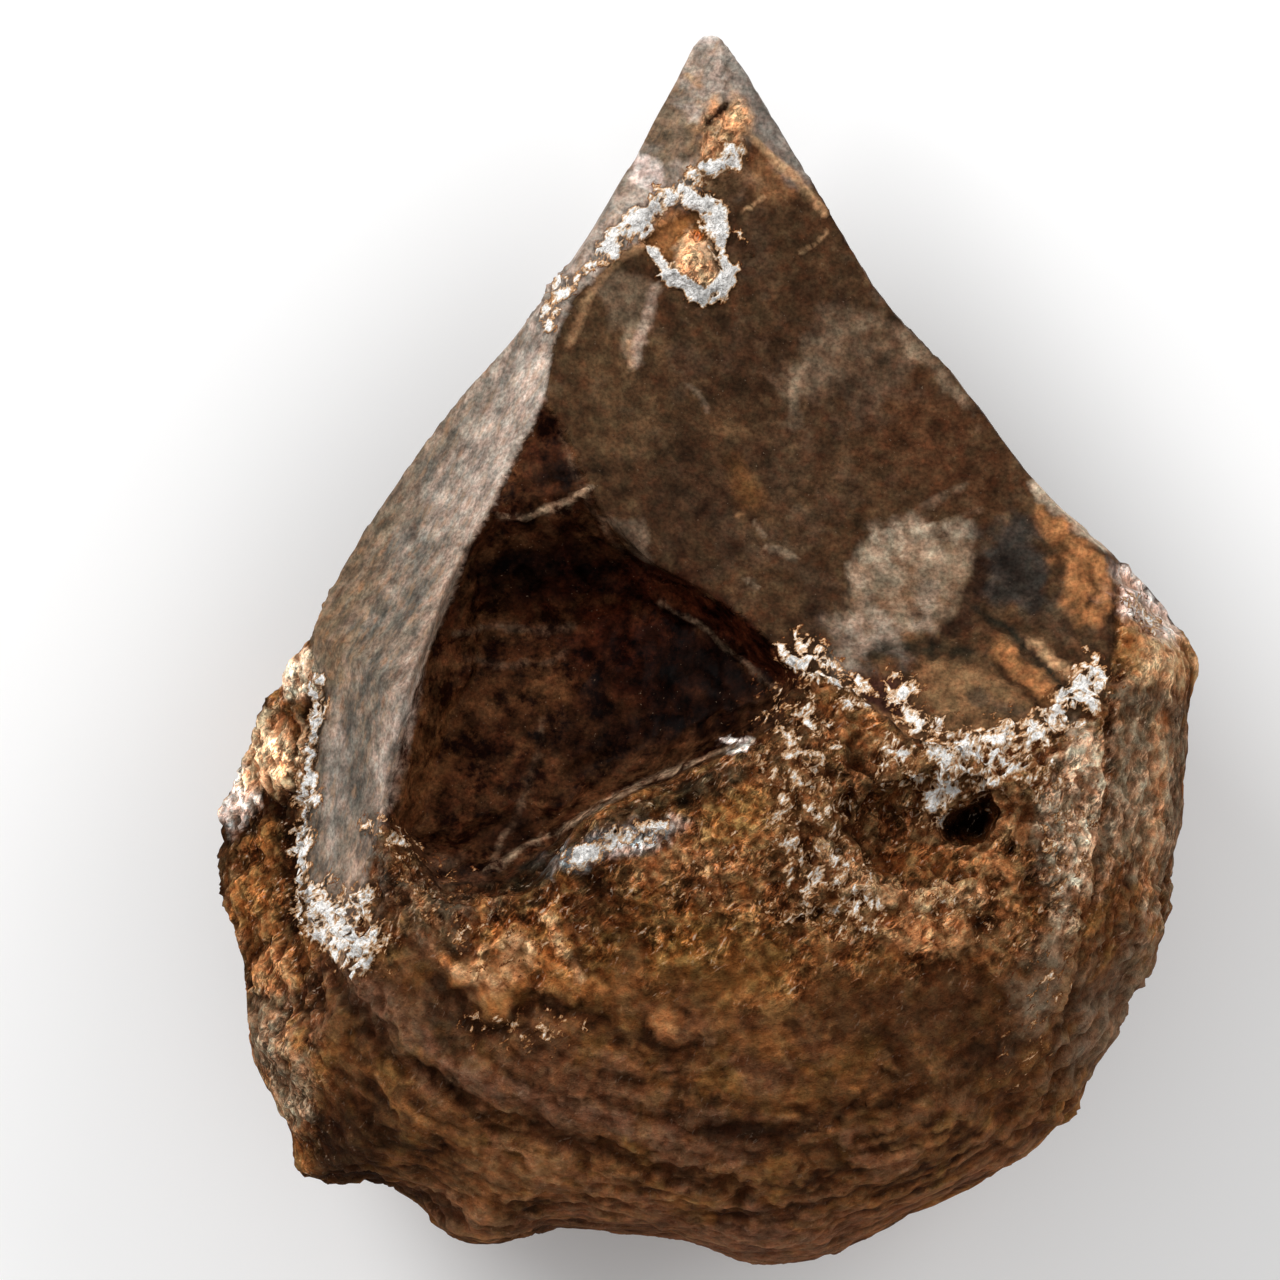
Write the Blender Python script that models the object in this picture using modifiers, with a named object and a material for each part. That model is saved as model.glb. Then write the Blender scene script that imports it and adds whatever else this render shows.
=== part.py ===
"""A stone chopper: a cobble knapped to a point at one end, with its rounded rind kept at the other.

The stone is one solid. It lies on its back on the ground at Z = 0, with the worked face up and the
point toward +Y. A cobble blank is lofted from its plan outline, and every flake scar, hollow and pit
is then cut out of it, much as the knapper took the flakes off.
"""
import math

import bmesh
import bpy
import numpy as np
from mathutils import Matrix, Vector, noise

# Sizes are in millimetres; MM turns them into metres.
MM = 0.001

# ---- driving dimensions --------------------------------------------------------------------------
LENGTH = 71.0                     # butt to point, along Y
WIDTH = 56.0                      # across the butt, along X
CROWN = (4.0, -13.0, 29.4)        # the top of the rounded rind, over the butt
CROWN_LEAN = 0.04                 # the crown rises this much to the right, mm per mm
UPPER_POWERS = (4.2, 2.0)         # superellipse of the worked side: outward, upward
LOWER_POWERS = (2.6, 2.2)         # superellipse of the underside: outward, downward
REST_DEPTH = 1.0                  # thickness worn off the belly, which leaves a flat to rest on
RIND_RELIEF = 0.6                 # height of the lumps in the rind
RIND_LUMP = 6.0                   # width of those lumps
BLANK_FACE = 0.8                  # width of the blank's faces when they are evened out
BLANK_RATIO = 0.18                # share of them kept before the scars are cut

# Plan outline, round from the point by the left side, the butt and the right side. Each corner is
# X, Y and the height of the stone's rim there.
OUTLINE = [
    (0.1, 35.7, 12.5), (-1.7, 32.6, 12.8), (-3.9, 28.5, 13.4), (-7.3, 22.9, 14.4),
    (-10.9, 17.9, 15.2), (-14.6, 13.6, 15.4), (-18.4, 8.5, 15.5), (-21.5, 3.4, 15.4),
    (-23.3, -0.8, 15.0), (-25.9, -5.0, 12.6), (-28.1, -11.3, 10.8), (-26.9, -17.5, 11.5),
    (-26.1, -23.0, 12.2), (-24.2, -27.0, 12.5), (-22.5, -30.7, 12.8), (-18.4, -31.1, 13.0),
    (-14.0, -33.6, 13.0), (-8.0, -33.5, 12.6), (-0.5, -34.2, 12.0), (4.3, -35.5, 11.8),
    (12.2, -32.5, 12.6), (18.5, -28.6, 13.2), (22.0, -23.8, 13.6), (25.6, -18.2, 14.0),
    (26.7, -12.0, 14.2), (27.5, -4.5, 14.6), (28.0, -0.8, 15.2), (25.8, 3.2, 17.0),
    (22.9, 5.8, 18.0), (18.8, 9.8, 17.0), (14.6, 15.4, 15.6), (10.2, 20.2, 14.8),
    (6.9, 25.8, 14.0), (3.9, 30.7, 13.2), (1.9, 34.0, 12.7),
]

# ---- named places where the scars meet -----------------------------------------------------------
CORE = (1.0, -4.0, 14.0)          # inside the stone: every scar faces away from here
APEX = (-9.1, 14.2, 21.8)         # the left scars, the main face and the hollow meet here
POINT_LEFT = (-1.2, 33.2, 13.0)
RIDGE_CAVITY = (-0.8, 24.9, 17.6)
RIDGE_BEND = (-8.6, 17.4, 20.4)
LEFT_RIM_TOP = (-14.5, 13.7, 15.2)
LEFT_RIM_LOW = (-22.6, 1.0, 15.4)
LEDGE_LEFT = (-12.6, 7.6, 23.0)
LEDGE_RIGHT = (-6.2, 8.4, 24.0)
HOLLOW_RIGHT = (5.5, -1.2, 27.0)
HOLLOW_FOOT = (-18.4, -9.9, 24.4)
FACE_TOP = (4.5, 29.8, 13.8)
FACE_LOW = (22.5, -3.0, 26.0)
BACK_RIDGE = (0.5, 8.0, 1.2)

# Large flake scars: three corners on the scar, how far its middle is hollowed below their plane, and
# how far the cutter reaches out from its middle.
SCARS = {
    "upper_left_scar": (POINT_LEFT, RIDGE_CAVITY, RIDGE_BEND, 0.5, 18.0),
    "left_scar": (LEFT_RIM_TOP, LEFT_RIM_LOW, APEX, 0.4, 24.0),
    "lower_left_scar": ((-22.0, -2.4, 16.6), (-22.8, -16.5, 18.6), HOLLOW_FOOT, 0.3, 17.0),
    "main_face": (FACE_TOP, FACE_LOW, APEX, 2.5, 30.0),
    "hollow_top_scar": (APEX, LEDGE_RIGHT, LEDGE_LEFT, 1.2, 5.2),
    "back_left_scar": ((-2.4, 31.0, 12.0), (-17.8, 9.0, 14.2), BACK_RIDGE, 0.8, 26.0),
    "back_right_scar": ((2.6, 33.0, 12.2), (19.0, 9.5, 15.6), BACK_RIDGE, 1.0, 28.0),
}

# ---- the deep hollow left of the middle ----------------------------------------------------------
HOLLOW_MIDDLE = (-7.0, -0.6, 18.2)
HOLLOW_POWER = 4.4                # a high power gives a flat floor and steep walls
HOLLOW_OUTLINE = [
    (-13.2, 7.0), (-9.4, 7.8), (-6.2, 8.4), (-3.1, 4.6), (1.2, 2.6), (5.5, -1.2), (3.4, -4.8),
    (-1.4, -7.2), (-6.0, -9.0), (-10.4, -13.0), (-15.4, -13.6), (-18.2, -9.9), (-17.4, -5.6),
    (-15.6, 0.8),
]

# Rounded pits: centre, half-sizes and turn about Z in degrees.
PITS = {
    "butt_pit": ((13.2, -10.2, 30.2), (4.6, 3.6, 2.6), 12.0),
    "butt_pit_hole": ((15.0, -9.6, 27.6), (1.2, 1.0, 1.6), 0.0),
    "point_cavity": ((-1.3, 23.8, 18.2), (1.5, 2.0, 1.9), 20.0),
}


def rounded(corners, steps):
    """A closed smooth curve through the corners, with the same number of steps between each two."""
    corners = np.array(corners, float)
    count = len(corners)
    curve = []
    for i in range(count):
        before, start, end, after = (corners[(i + k) % count] for k in (-1, 0, 1, 2))
        for t in np.arange(steps) / steps:
            curve.append(0.5 * (2 * start + (end - before) * t
                                + (2 * before - 5 * start + 4 * end - after) * t ** 2
                                + (3 * start - before - 3 * end + after) * t ** 3))
    return np.array(curve)


def smoothed(values, rounds):
    """The values round a closed curve, averaged with their neighbours so many times."""
    for _ in range(rounds):
        values = (np.roll(values, 1) + 2 * values + np.roll(values, -1)) / 4
    return values


def plan_ring(outline, middle, share):
    """The outline shrunk toward its middle; its small bays and points fade as it shrinks."""
    spokes = outline[:, :2] - middle
    reach = np.linalg.norm(spokes, axis=1)
    soft = smoothed(reach, 60)
    scaled = share * (soft + (reach - soft) * share ** 5)
    return middle + spokes / reach[:, None] * scaled[:, None]


def loft(name, rings, bottom, top):
    """A closed mesh through rings of equal count, from a bottom point up to a top point."""
    bm = bmesh.new()
    loops = [[bm.verts.new(Vector(point) * MM) for point in ring] for ring in rings]
    low = bm.verts.new(Vector(bottom) * MM)
    high = bm.verts.new(Vector(top) * MM)
    count = len(loops[0])
    for i in range(count):
        j = (i + 1) % count
        bm.faces.new((low, loops[0][j], loops[0][i]))
        bm.faces.new((high, loops[-1][i], loops[-1][j]))
        for below, above in zip(loops, loops[1:]):
            bm.faces.new((below[i], below[j], above[j], above[i]))
    bmesh.ops.recalc_face_normals(bm, faces=bm.faces)
    mesh = bpy.data.meshes.new(name)
    bm.to_mesh(mesh)
    bm.free()
    return bpy.data.objects.new(name, mesh)


def lump(x, y, z):
    """Height of the rind's lumps at a place, from coarse and fine noise."""
    place = Vector((x, y, z)) / RIND_LUMP
    return RIND_RELIEF * (noise.noise(place) + 0.5 * noise.noise(place * 2.3))


def crown_height(x):
    """The rind's full height above the ground, which leans a little to the right."""
    return CROWN[2] + CROWN_LEAN * (x - CROWN[0])


def cobble_blank():
    """The unworked cobble: a flattened dome above its rim and a rounded belly below it."""
    outline = rounded(OUTLINE, 5)
    rim = outline[:, 2]
    middle = np.array(CROWN[:2])
    turns = np.arange(1, 24) / 24 * math.pi / 2
    shares = np.sin(turns)
    rings = []
    for share in shares:
        out, down = LOWER_POWERS
        drop = (1 - share ** out) ** (1 / down)
        plan = plan_ring(outline, middle, share)
        fade = 1 - share ** 8
        rings.append([(x, y, z - (z + REST_DEPTH) * drop + fade * lump(x, y, 0.0))
                      for (x, y), z in zip(plan, rim)])
    rings.append([tuple(point) for point in outline])
    for share in shares[::-1]:
        out, up = UPPER_POWERS
        rise = (1 - share ** out) ** (1 / up)
        plan = plan_ring(outline, middle, share)
        fade = 1 - share ** 8
        rings.append([(x, y, z + (crown_height(x) - z) * rise + fade * lump(x, y, 40.0))
                      for (x, y), z in zip(plan, rim)])
    bottom = (*CROWN[:2], -REST_DEPTH)
    return loft("chopper", rings, bottom, CROWN)


def scar_sphere(corners, hollow):
    """Centre, radius, outward direction and deepest point of the ball whose surface is a scar."""
    first, second, third = (Vector(corner) for corner in corners)
    side = second - first
    other = third - first
    across = side.cross(other)
    offset = (across.cross(side) * other.length_squared + other.cross(across) * side.length_squared)
    middle = first + offset / (2 * across.length_squared)
    outward = across.normalized()
    if outward.dot(middle - Vector(CORE)) < 0:
        outward.negate()
    rim_radius = (first - middle).length
    radius = (rim_radius ** 2 + hollow ** 2) / (2 * hollow)
    return middle + outward * (radius - hollow), radius, outward, middle - outward * hollow


def lens_cutter(name, corners, hollow, reach):
    """A turned cutter with a bulging lower face, set so that this face leaves the scar."""
    _, radius, outward, deepest = scar_sphere(corners, hollow)
    slope = math.asin(reach / radius)
    steps = 12
    thickness = 30.0
    profile = [(0.0, thickness), (reach, thickness)]
    for i in range(steps + 1):
        angle = slope * (1 - i / steps)
        profile.append((radius * math.sin(angle), radius * (1 - math.cos(angle))))
    mesh = bpy.data.meshes.new(name)
    points = [(x * MM, 0.0, z * MM) for x, z in profile]
    mesh.from_pydata(points, [(i, i + 1) for i in range(len(points) - 1)], [])
    cutter = bpy.data.objects.new(name, mesh)
    screw = cutter.modifiers.new("turn", "SCREW")
    screw.steps = 40
    screw.render_steps = 40
    screw.use_merge_vertices = True
    screw.merge_threshold = 0.00001
    turn = Vector((0, 0, 1)).rotation_difference(outward)
    cutter.matrix_world = Matrix.Translation(deepest * MM) @ turn.to_matrix().to_4x4()
    return cutter


def hollow_cutter():
    """A flat-floored bowl that rises to the plane of the three ridges round it and opens upward."""
    outline = rounded(HOLLOW_OUTLINE, 4)
    middle = np.array(HOLLOW_MIDDLE[:2])
    floor = HOLLOW_MIDDLE[2]
    corner = Vector(LEDGE_LEFT)
    normal = (Vector(HOLLOW_RIGHT) - corner).cross(Vector(HOLLOW_FOOT) - corner)

    def lid(x, y):
        return corner.z - (normal.x * (x - corner.x) + normal.y * (y - corner.y)) / normal.z

    rings = []
    for share in np.sin(np.arange(1, 13) / 12 * math.pi / 2):
        plan = plan_ring(outline, middle, share)
        rings.append([(x, y, floor + (lid(x, y) - floor) * share ** HOLLOW_POWER) for x, y in plan])
    clearance = 9.0
    flared = middle + (plan_ring(outline, middle, 1.0) - middle) * 1.3
    rings.append([(x, y, lid(x, y) + clearance) for x, y in flared])
    return loft("hollow", rings, HOLLOW_MIDDLE, (*middle, lid(*middle) + clearance))


def pit_cutter(name, centre, half_sizes, turn):
    """A ball stretched to its half-sizes, for a pit, a small cavity or a groove."""
    bm = bmesh.new()
    bmesh.ops.create_uvsphere(bm, u_segments=24, v_segments=12, radius=1.0)
    mesh = bpy.data.meshes.new(name)
    bm.to_mesh(mesh)
    bm.free()
    cutter = bpy.data.objects.new(name, mesh)
    placed = Matrix.Translation(Vector(centre) * MM) @ Matrix.Rotation(math.radians(turn), 4, "Z")
    cutter.matrix_world = placed @ Matrix.Diagonal((*(size * MM for size in half_sizes), 1.0))
    return cutter


def ground_cutter():
    """A block whose top is the ground, which wears the belly flat."""
    depth = 10.0
    bm = bmesh.new()
    bmesh.ops.create_cube(bm, size=1.0)
    bmesh.ops.scale(bm, verts=bm.verts, vec=Vector((2 * WIDTH, 2 * LENGTH, depth)) * MM)
    bmesh.ops.translate(bm, verts=bm.verts, vec=Vector((0, 0, -depth / 2)) * MM)
    mesh = bpy.data.meshes.new("ground")
    bm.to_mesh(mesh)
    bm.free()
    return bpy.data.objects.new("ground", mesh)


def all_cutters():
    """Every scar, the hollow and the pits, in the order they are taken off the blank."""
    cutters = [lens_cutter(name, row[:3], row[3], row[4]) for name, row in SCARS.items()]
    cutters.append(hollow_cutter())
    cutters += [pit_cutter(name, *row) for name, row in PITS.items()]
    return cutters


def stone_material():
    """Brown flint."""
    material = bpy.data.materials.new("brown_flint")
    material.use_nodes = True
    shader = material.node_tree.nodes["Principled BSDF"]
    shader.inputs["Base Color"].default_value = (0.14, 0.08, 0.045, 1.0)
    shader.inputs["Roughness"].default_value = 0.55
    shader.inputs["Metallic"].default_value = 0.0
    return material


def cut(stone, cutter):
    """Takes a cutter's shape off the stone."""
    boolean = stone.modifiers.new(cutter.name, "BOOLEAN")
    boolean.operation = "DIFFERENCE"
    boolean.solver = "EXACT"
    boolean.object = cutter


def build():
    """Clears the scene and models the chopper."""
    for old in list(bpy.data.objects):
        bpy.data.objects.remove(old, do_unlink=True)
    parts = bpy.data.collections.new("stone_chopper")
    guides = bpy.data.collections.new("cutters")
    bpy.context.scene.collection.children.link(parts)
    bpy.context.scene.collection.children.link(guides)

    stone = cobble_blank()
    stone.data.materials.append(stone_material())
    parts.objects.link(stone)
    even = stone.modifiers.new("even_faces", "REMESH")
    even.mode = "VOXEL"
    even.voxel_size = BLANK_FACE * MM
    fewer = stone.modifiers.new("fewer_faces", "DECIMATE")
    fewer.ratio = BLANK_RATIO
    for cutter in all_cutters():
        guides.objects.link(cutter)
        cutter.hide_render = True
        cutter.display_type = "WIRE"
        cut(stone, cutter)

    ground = ground_cutter()
    guides.objects.link(ground)
    ground.hide_render = True
    ground.display_type = "WIRE"
    cut(stone, ground)


build()
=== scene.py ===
"""The looks of a knapped stone chopper: its fine relief, colours, floor, light and camera.

Lengths are millimetres in the part's own frame, except where a line says otherwise: X to the right,
Y toward the point, Z up out of the worked face. Colours are sRGB values from 0 to 255.
"""
import math
from functools import partial, reduce

import bpy
import numpy as np
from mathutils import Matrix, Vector, noise


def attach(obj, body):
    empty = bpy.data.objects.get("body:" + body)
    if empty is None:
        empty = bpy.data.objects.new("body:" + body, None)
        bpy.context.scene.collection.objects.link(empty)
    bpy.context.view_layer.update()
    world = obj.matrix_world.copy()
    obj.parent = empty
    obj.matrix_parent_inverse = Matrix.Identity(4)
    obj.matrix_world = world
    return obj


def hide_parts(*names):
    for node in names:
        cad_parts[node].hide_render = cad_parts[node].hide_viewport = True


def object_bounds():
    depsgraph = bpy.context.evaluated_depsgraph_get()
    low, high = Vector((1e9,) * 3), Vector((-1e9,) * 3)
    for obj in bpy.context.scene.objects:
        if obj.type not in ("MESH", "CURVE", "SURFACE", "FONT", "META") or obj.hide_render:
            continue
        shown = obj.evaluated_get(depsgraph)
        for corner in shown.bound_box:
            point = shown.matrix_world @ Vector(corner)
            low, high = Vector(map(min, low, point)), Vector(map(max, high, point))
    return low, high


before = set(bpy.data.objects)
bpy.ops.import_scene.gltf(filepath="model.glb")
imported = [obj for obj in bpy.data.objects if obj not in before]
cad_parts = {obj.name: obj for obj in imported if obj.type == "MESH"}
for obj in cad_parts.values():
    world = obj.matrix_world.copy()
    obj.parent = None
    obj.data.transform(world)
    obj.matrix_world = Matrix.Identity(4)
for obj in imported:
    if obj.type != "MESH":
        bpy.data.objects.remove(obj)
CAD_LOW, CAD_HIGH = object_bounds()

MM = 0.001
NODE = "chopper"
FINE_FACE = 0.21          # width of the fine mesh's faces before it is simplified
FACE_LIMIT = 194000       # triangles that the finished stone keeps
KEPT_POINTS = 24          # one in so many points stays wherever it lies, even on the underside
BORDER = 0.15             # half the width over which one kind of surface passes into another
FLAT_HEIGHT = 0.15        # a point lower than this is on the flat under the belly

# ---- plan lines where one kind of surface ends and another begins ----
LEFT_RIDGE = [(1.2, 33.5), (1.0, 30.0), (0.2, 27.5), (-0.8, 25.2), (-5.2, 22.4), (-7.7, 20.0),
              (-8.7, 17.3), (-9.2, 14.2)]
HOLLOW_RIDGE = [(-9.2, 14.2), (-10.6, 11.1), (-12.4, 7.8), (-13.8, 4.7), (-15.2, 1.0), (-16.7, -3.0),
                (-17.5, -6.5), (-18.4, -9.9), (-19.5, -14.0), (-20.7, -18.3)]
LEFT_FOOT = [(-20.7, -18.3), (-22.6, -16.0), (-23.1, -11.7), (-22.4, -6.0), (-21.9, -2.4), (-22.9, 1.0)]
FACE_RIDGE = [(-9.2, 14.2), (-7.6, 11.4), (-6.6, 9.1), (-5.5, 6.9), (-3.3, 4.3), (-0.8, 3.5), (2.0, 1.9),
              (4.3, -0.1), (5.5, -1.2)]
FACE_FOOT = [(5.5, -1.2), (8.4, -2.6), (11.5, -5.2), (13.6, -5.8), (17.0, -5.4), (19.9, -5.0),
             (22.5, -3.0), (23.4, 0.4), (23.5, 4.8)]
HOLLOW_FOOT = [(5.5, -1.2), (4.2, -4.0), (2.3, -5.4), (-1.4, -7.2), (-6.0, -9.0), (-8.5, -11.1),
               (-11.2, -13.3), (-15.2, -13.5), (-18.4, -9.9)]
FLANK_EDGE = [(23.0, 3.0), (23.3, -2.6), (22.9, -6.5), (22.2, -10.5), (21.4, -14.5), (20.8, -20.3),
              (19.6, -26.1)]

FAR_SIDE, FAR_END = 40.0, 50.0      # plan places well outside the stone
LEFT_AREA = (LEFT_RIDGE + HOLLOW_RIDGE[1:] + LEFT_FOOT[1:]
             + [(-FAR_SIDE, 1.0), (-FAR_SIDE, FAR_END), (1.2, FAR_END)])
FACE_AREA = (LEFT_RIDGE[::-1] + [(1.2, FAR_END), (FAR_SIDE, FAR_END), (FAR_SIDE, 4.8)]
             + FACE_FOOT[::-1] + FACE_RIDGE[::-1][1:-1])
HOLLOW_AREA = HOLLOW_RIDGE[:8] + HOLLOW_FOOT[::-1][1:] + FACE_RIDGE[::-1][1:-1]

# ---- the large flake scars, as the part cuts them: three corners and the scar's depth ----
CORE = (1.0, -4.0, 14.0)
APEX = (-9.1, 14.2, 21.8)
BACK_RIDGE = (0.5, 8.0, 1.2)
FRONT_SCARS = [
    ((-1.2, 33.2, 13.0), (-0.8, 24.9, 17.6), (-8.6, 17.4, 20.4), 0.5),
    ((-14.5, 13.7, 15.2), (-22.6, 1.0, 15.4), APEX, 0.4),
    ((-22.0, -2.4, 16.6), (-22.8, -16.5, 18.6), (-18.4, -9.9, 24.4), 0.3),
    ((4.5, 29.8, 13.8), (22.5, -3.0, 26.0), APEX, 2.5),
]
BACK_SCARS = [
    ((-2.4, 31.0, 12.0), (-17.8, 9.0, 14.2), BACK_RIDGE, 0.8),
    ((2.6, 33.0, 12.2), (19.0, 9.5, 15.6), BACK_RIDGE, 1.0),
]
SNAP = 0.14                # a fine point this near a scar is on it

# ---- flat facets of the deep hollow, each through three points; the highest one shows ----
HOLLOW_FACETS = [
    ((-12.4, 7.8, 22.2), (-6.6, 9.1, 23.0), (-9.0, 1.4, 17.8)),
    ((-5.5, 6.9, 22.9), (5.5, -1.2, 25.8), (-1.7, 1.2, 18.2)),
    ((-13.8, 4.7, 22.2), (-18.4, -9.9, 24.3), (-13.4, -2.2, 17.9)),
    ((-13.0, 0.8, 17.9), (-1.0, 0.6, 18.3), (-6.0, -8.0, 20.0)),
    ((-3.0, 1.5, 18.4), (4.4, -2.6, 23.0), (-1.0, -5.5, 20.6)),
    ((2.3, -5.4, 26.0), (-11.2, -13.3, 25.2), (-5.4, -6.6, 19.4)),
    ((-11.2, -13.3, 25.4), (-15.2, -13.6, 25.0), (-13.2, -9.6, 20.2)),
]
HOLLOW_TOP = 9.4           # the facets end below this Y, where the small upper facet begins
WALL_RISE = 0.35           # how far a facet may stand above the part's own surface near the rim
FLOOR_RISE = 2.5           # how much further it may stand well inside the hollow

# ---- directions in the stone ----
FLOW_MIDDLE = (0.0, -2.0)  # the rind's fibres run round this place
FLOW_RADIUS = 22.0         # where the fibres keep their true length
STRIKE = (3.0, 36.0)       # the main face's ripples spread from here
RIPPLE_WIDTH = 2.4
SWEEP_MIDDLE = (-26.0, 26.0)   # and the left face's broader waves from here
SWEEP_WIDTH = 3.3

# ---- painted shade in the rind's crevices and painted light where it stands proud: rounds of smoothing that find them, and the depth at which the shade is darkest ----
FINE_DIP = (5, 0.06)
BROAD_DIP = (40, 0.3)
# painted shade and light: red, green and blue fade at these rates as a crevice deepens, and grow as much
# where the rind stands proud
CREVICE_SHADE_TINT = np.array((-0.9, -1.15, -1.35))  # how fast red, green and blue fade as a crevice deepens

# ---- base colours of the surfaces ----
PALETTE = {
    # the patina greys also carry the painted sheen of the lit left face
    "grey_patina_and_sheen": (124, 109, 94),
    "light_patina": (188, 172, 160),
    "pink_patina": (160, 136, 120),
    "lilac_grey": (128, 118, 110),
    "brown_flint": (70, 49, 32),
    "umber": (44, 27, 18),
    "olive_flint": (108, 84, 58),
    "hollow_flint": (66, 42, 25),
    # black for the flint's darkest places and for painted shade
    "black_flint": (17, 6, 3),
    "green_black": (34, 32, 24),
    "haze": (84, 66, 52),
    "scar_light": (112, 92, 76),
    "scar_warm": (128, 96, 66),
    "rind": (92, 59, 34),
    "light_rind": (158, 111, 74),
    "rind_purple": (106, 72, 54),
    "rind_dark": (40, 23, 12),
    "sienna": (136, 90, 50),
    "tan": (196, 152, 112),
    "pale_tan": (224, 200, 174),
    "orange": (156, 101, 56),
    "bright_orange": (184, 124, 78),
    "peach": (236, 192, 152),
    "ochre": (140, 98, 50),
    "rust": (86, 46, 26),
    "purple": (60, 32, 30),
    "deep_red": (46, 18, 8),
    "grey_chert": (146, 124, 102),
    "blue_grey": (84, 84, 80),
    "slate": (48, 48, 46),
    "white_crust": (255, 252, 248),
    "pink_white": (236, 216, 208),
    "blue_white": (226, 230, 236),
}
STRENGTH_OF_LIGHT = 1.3    # it whitens the floor, and the stone's colours are darker by as much

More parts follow.
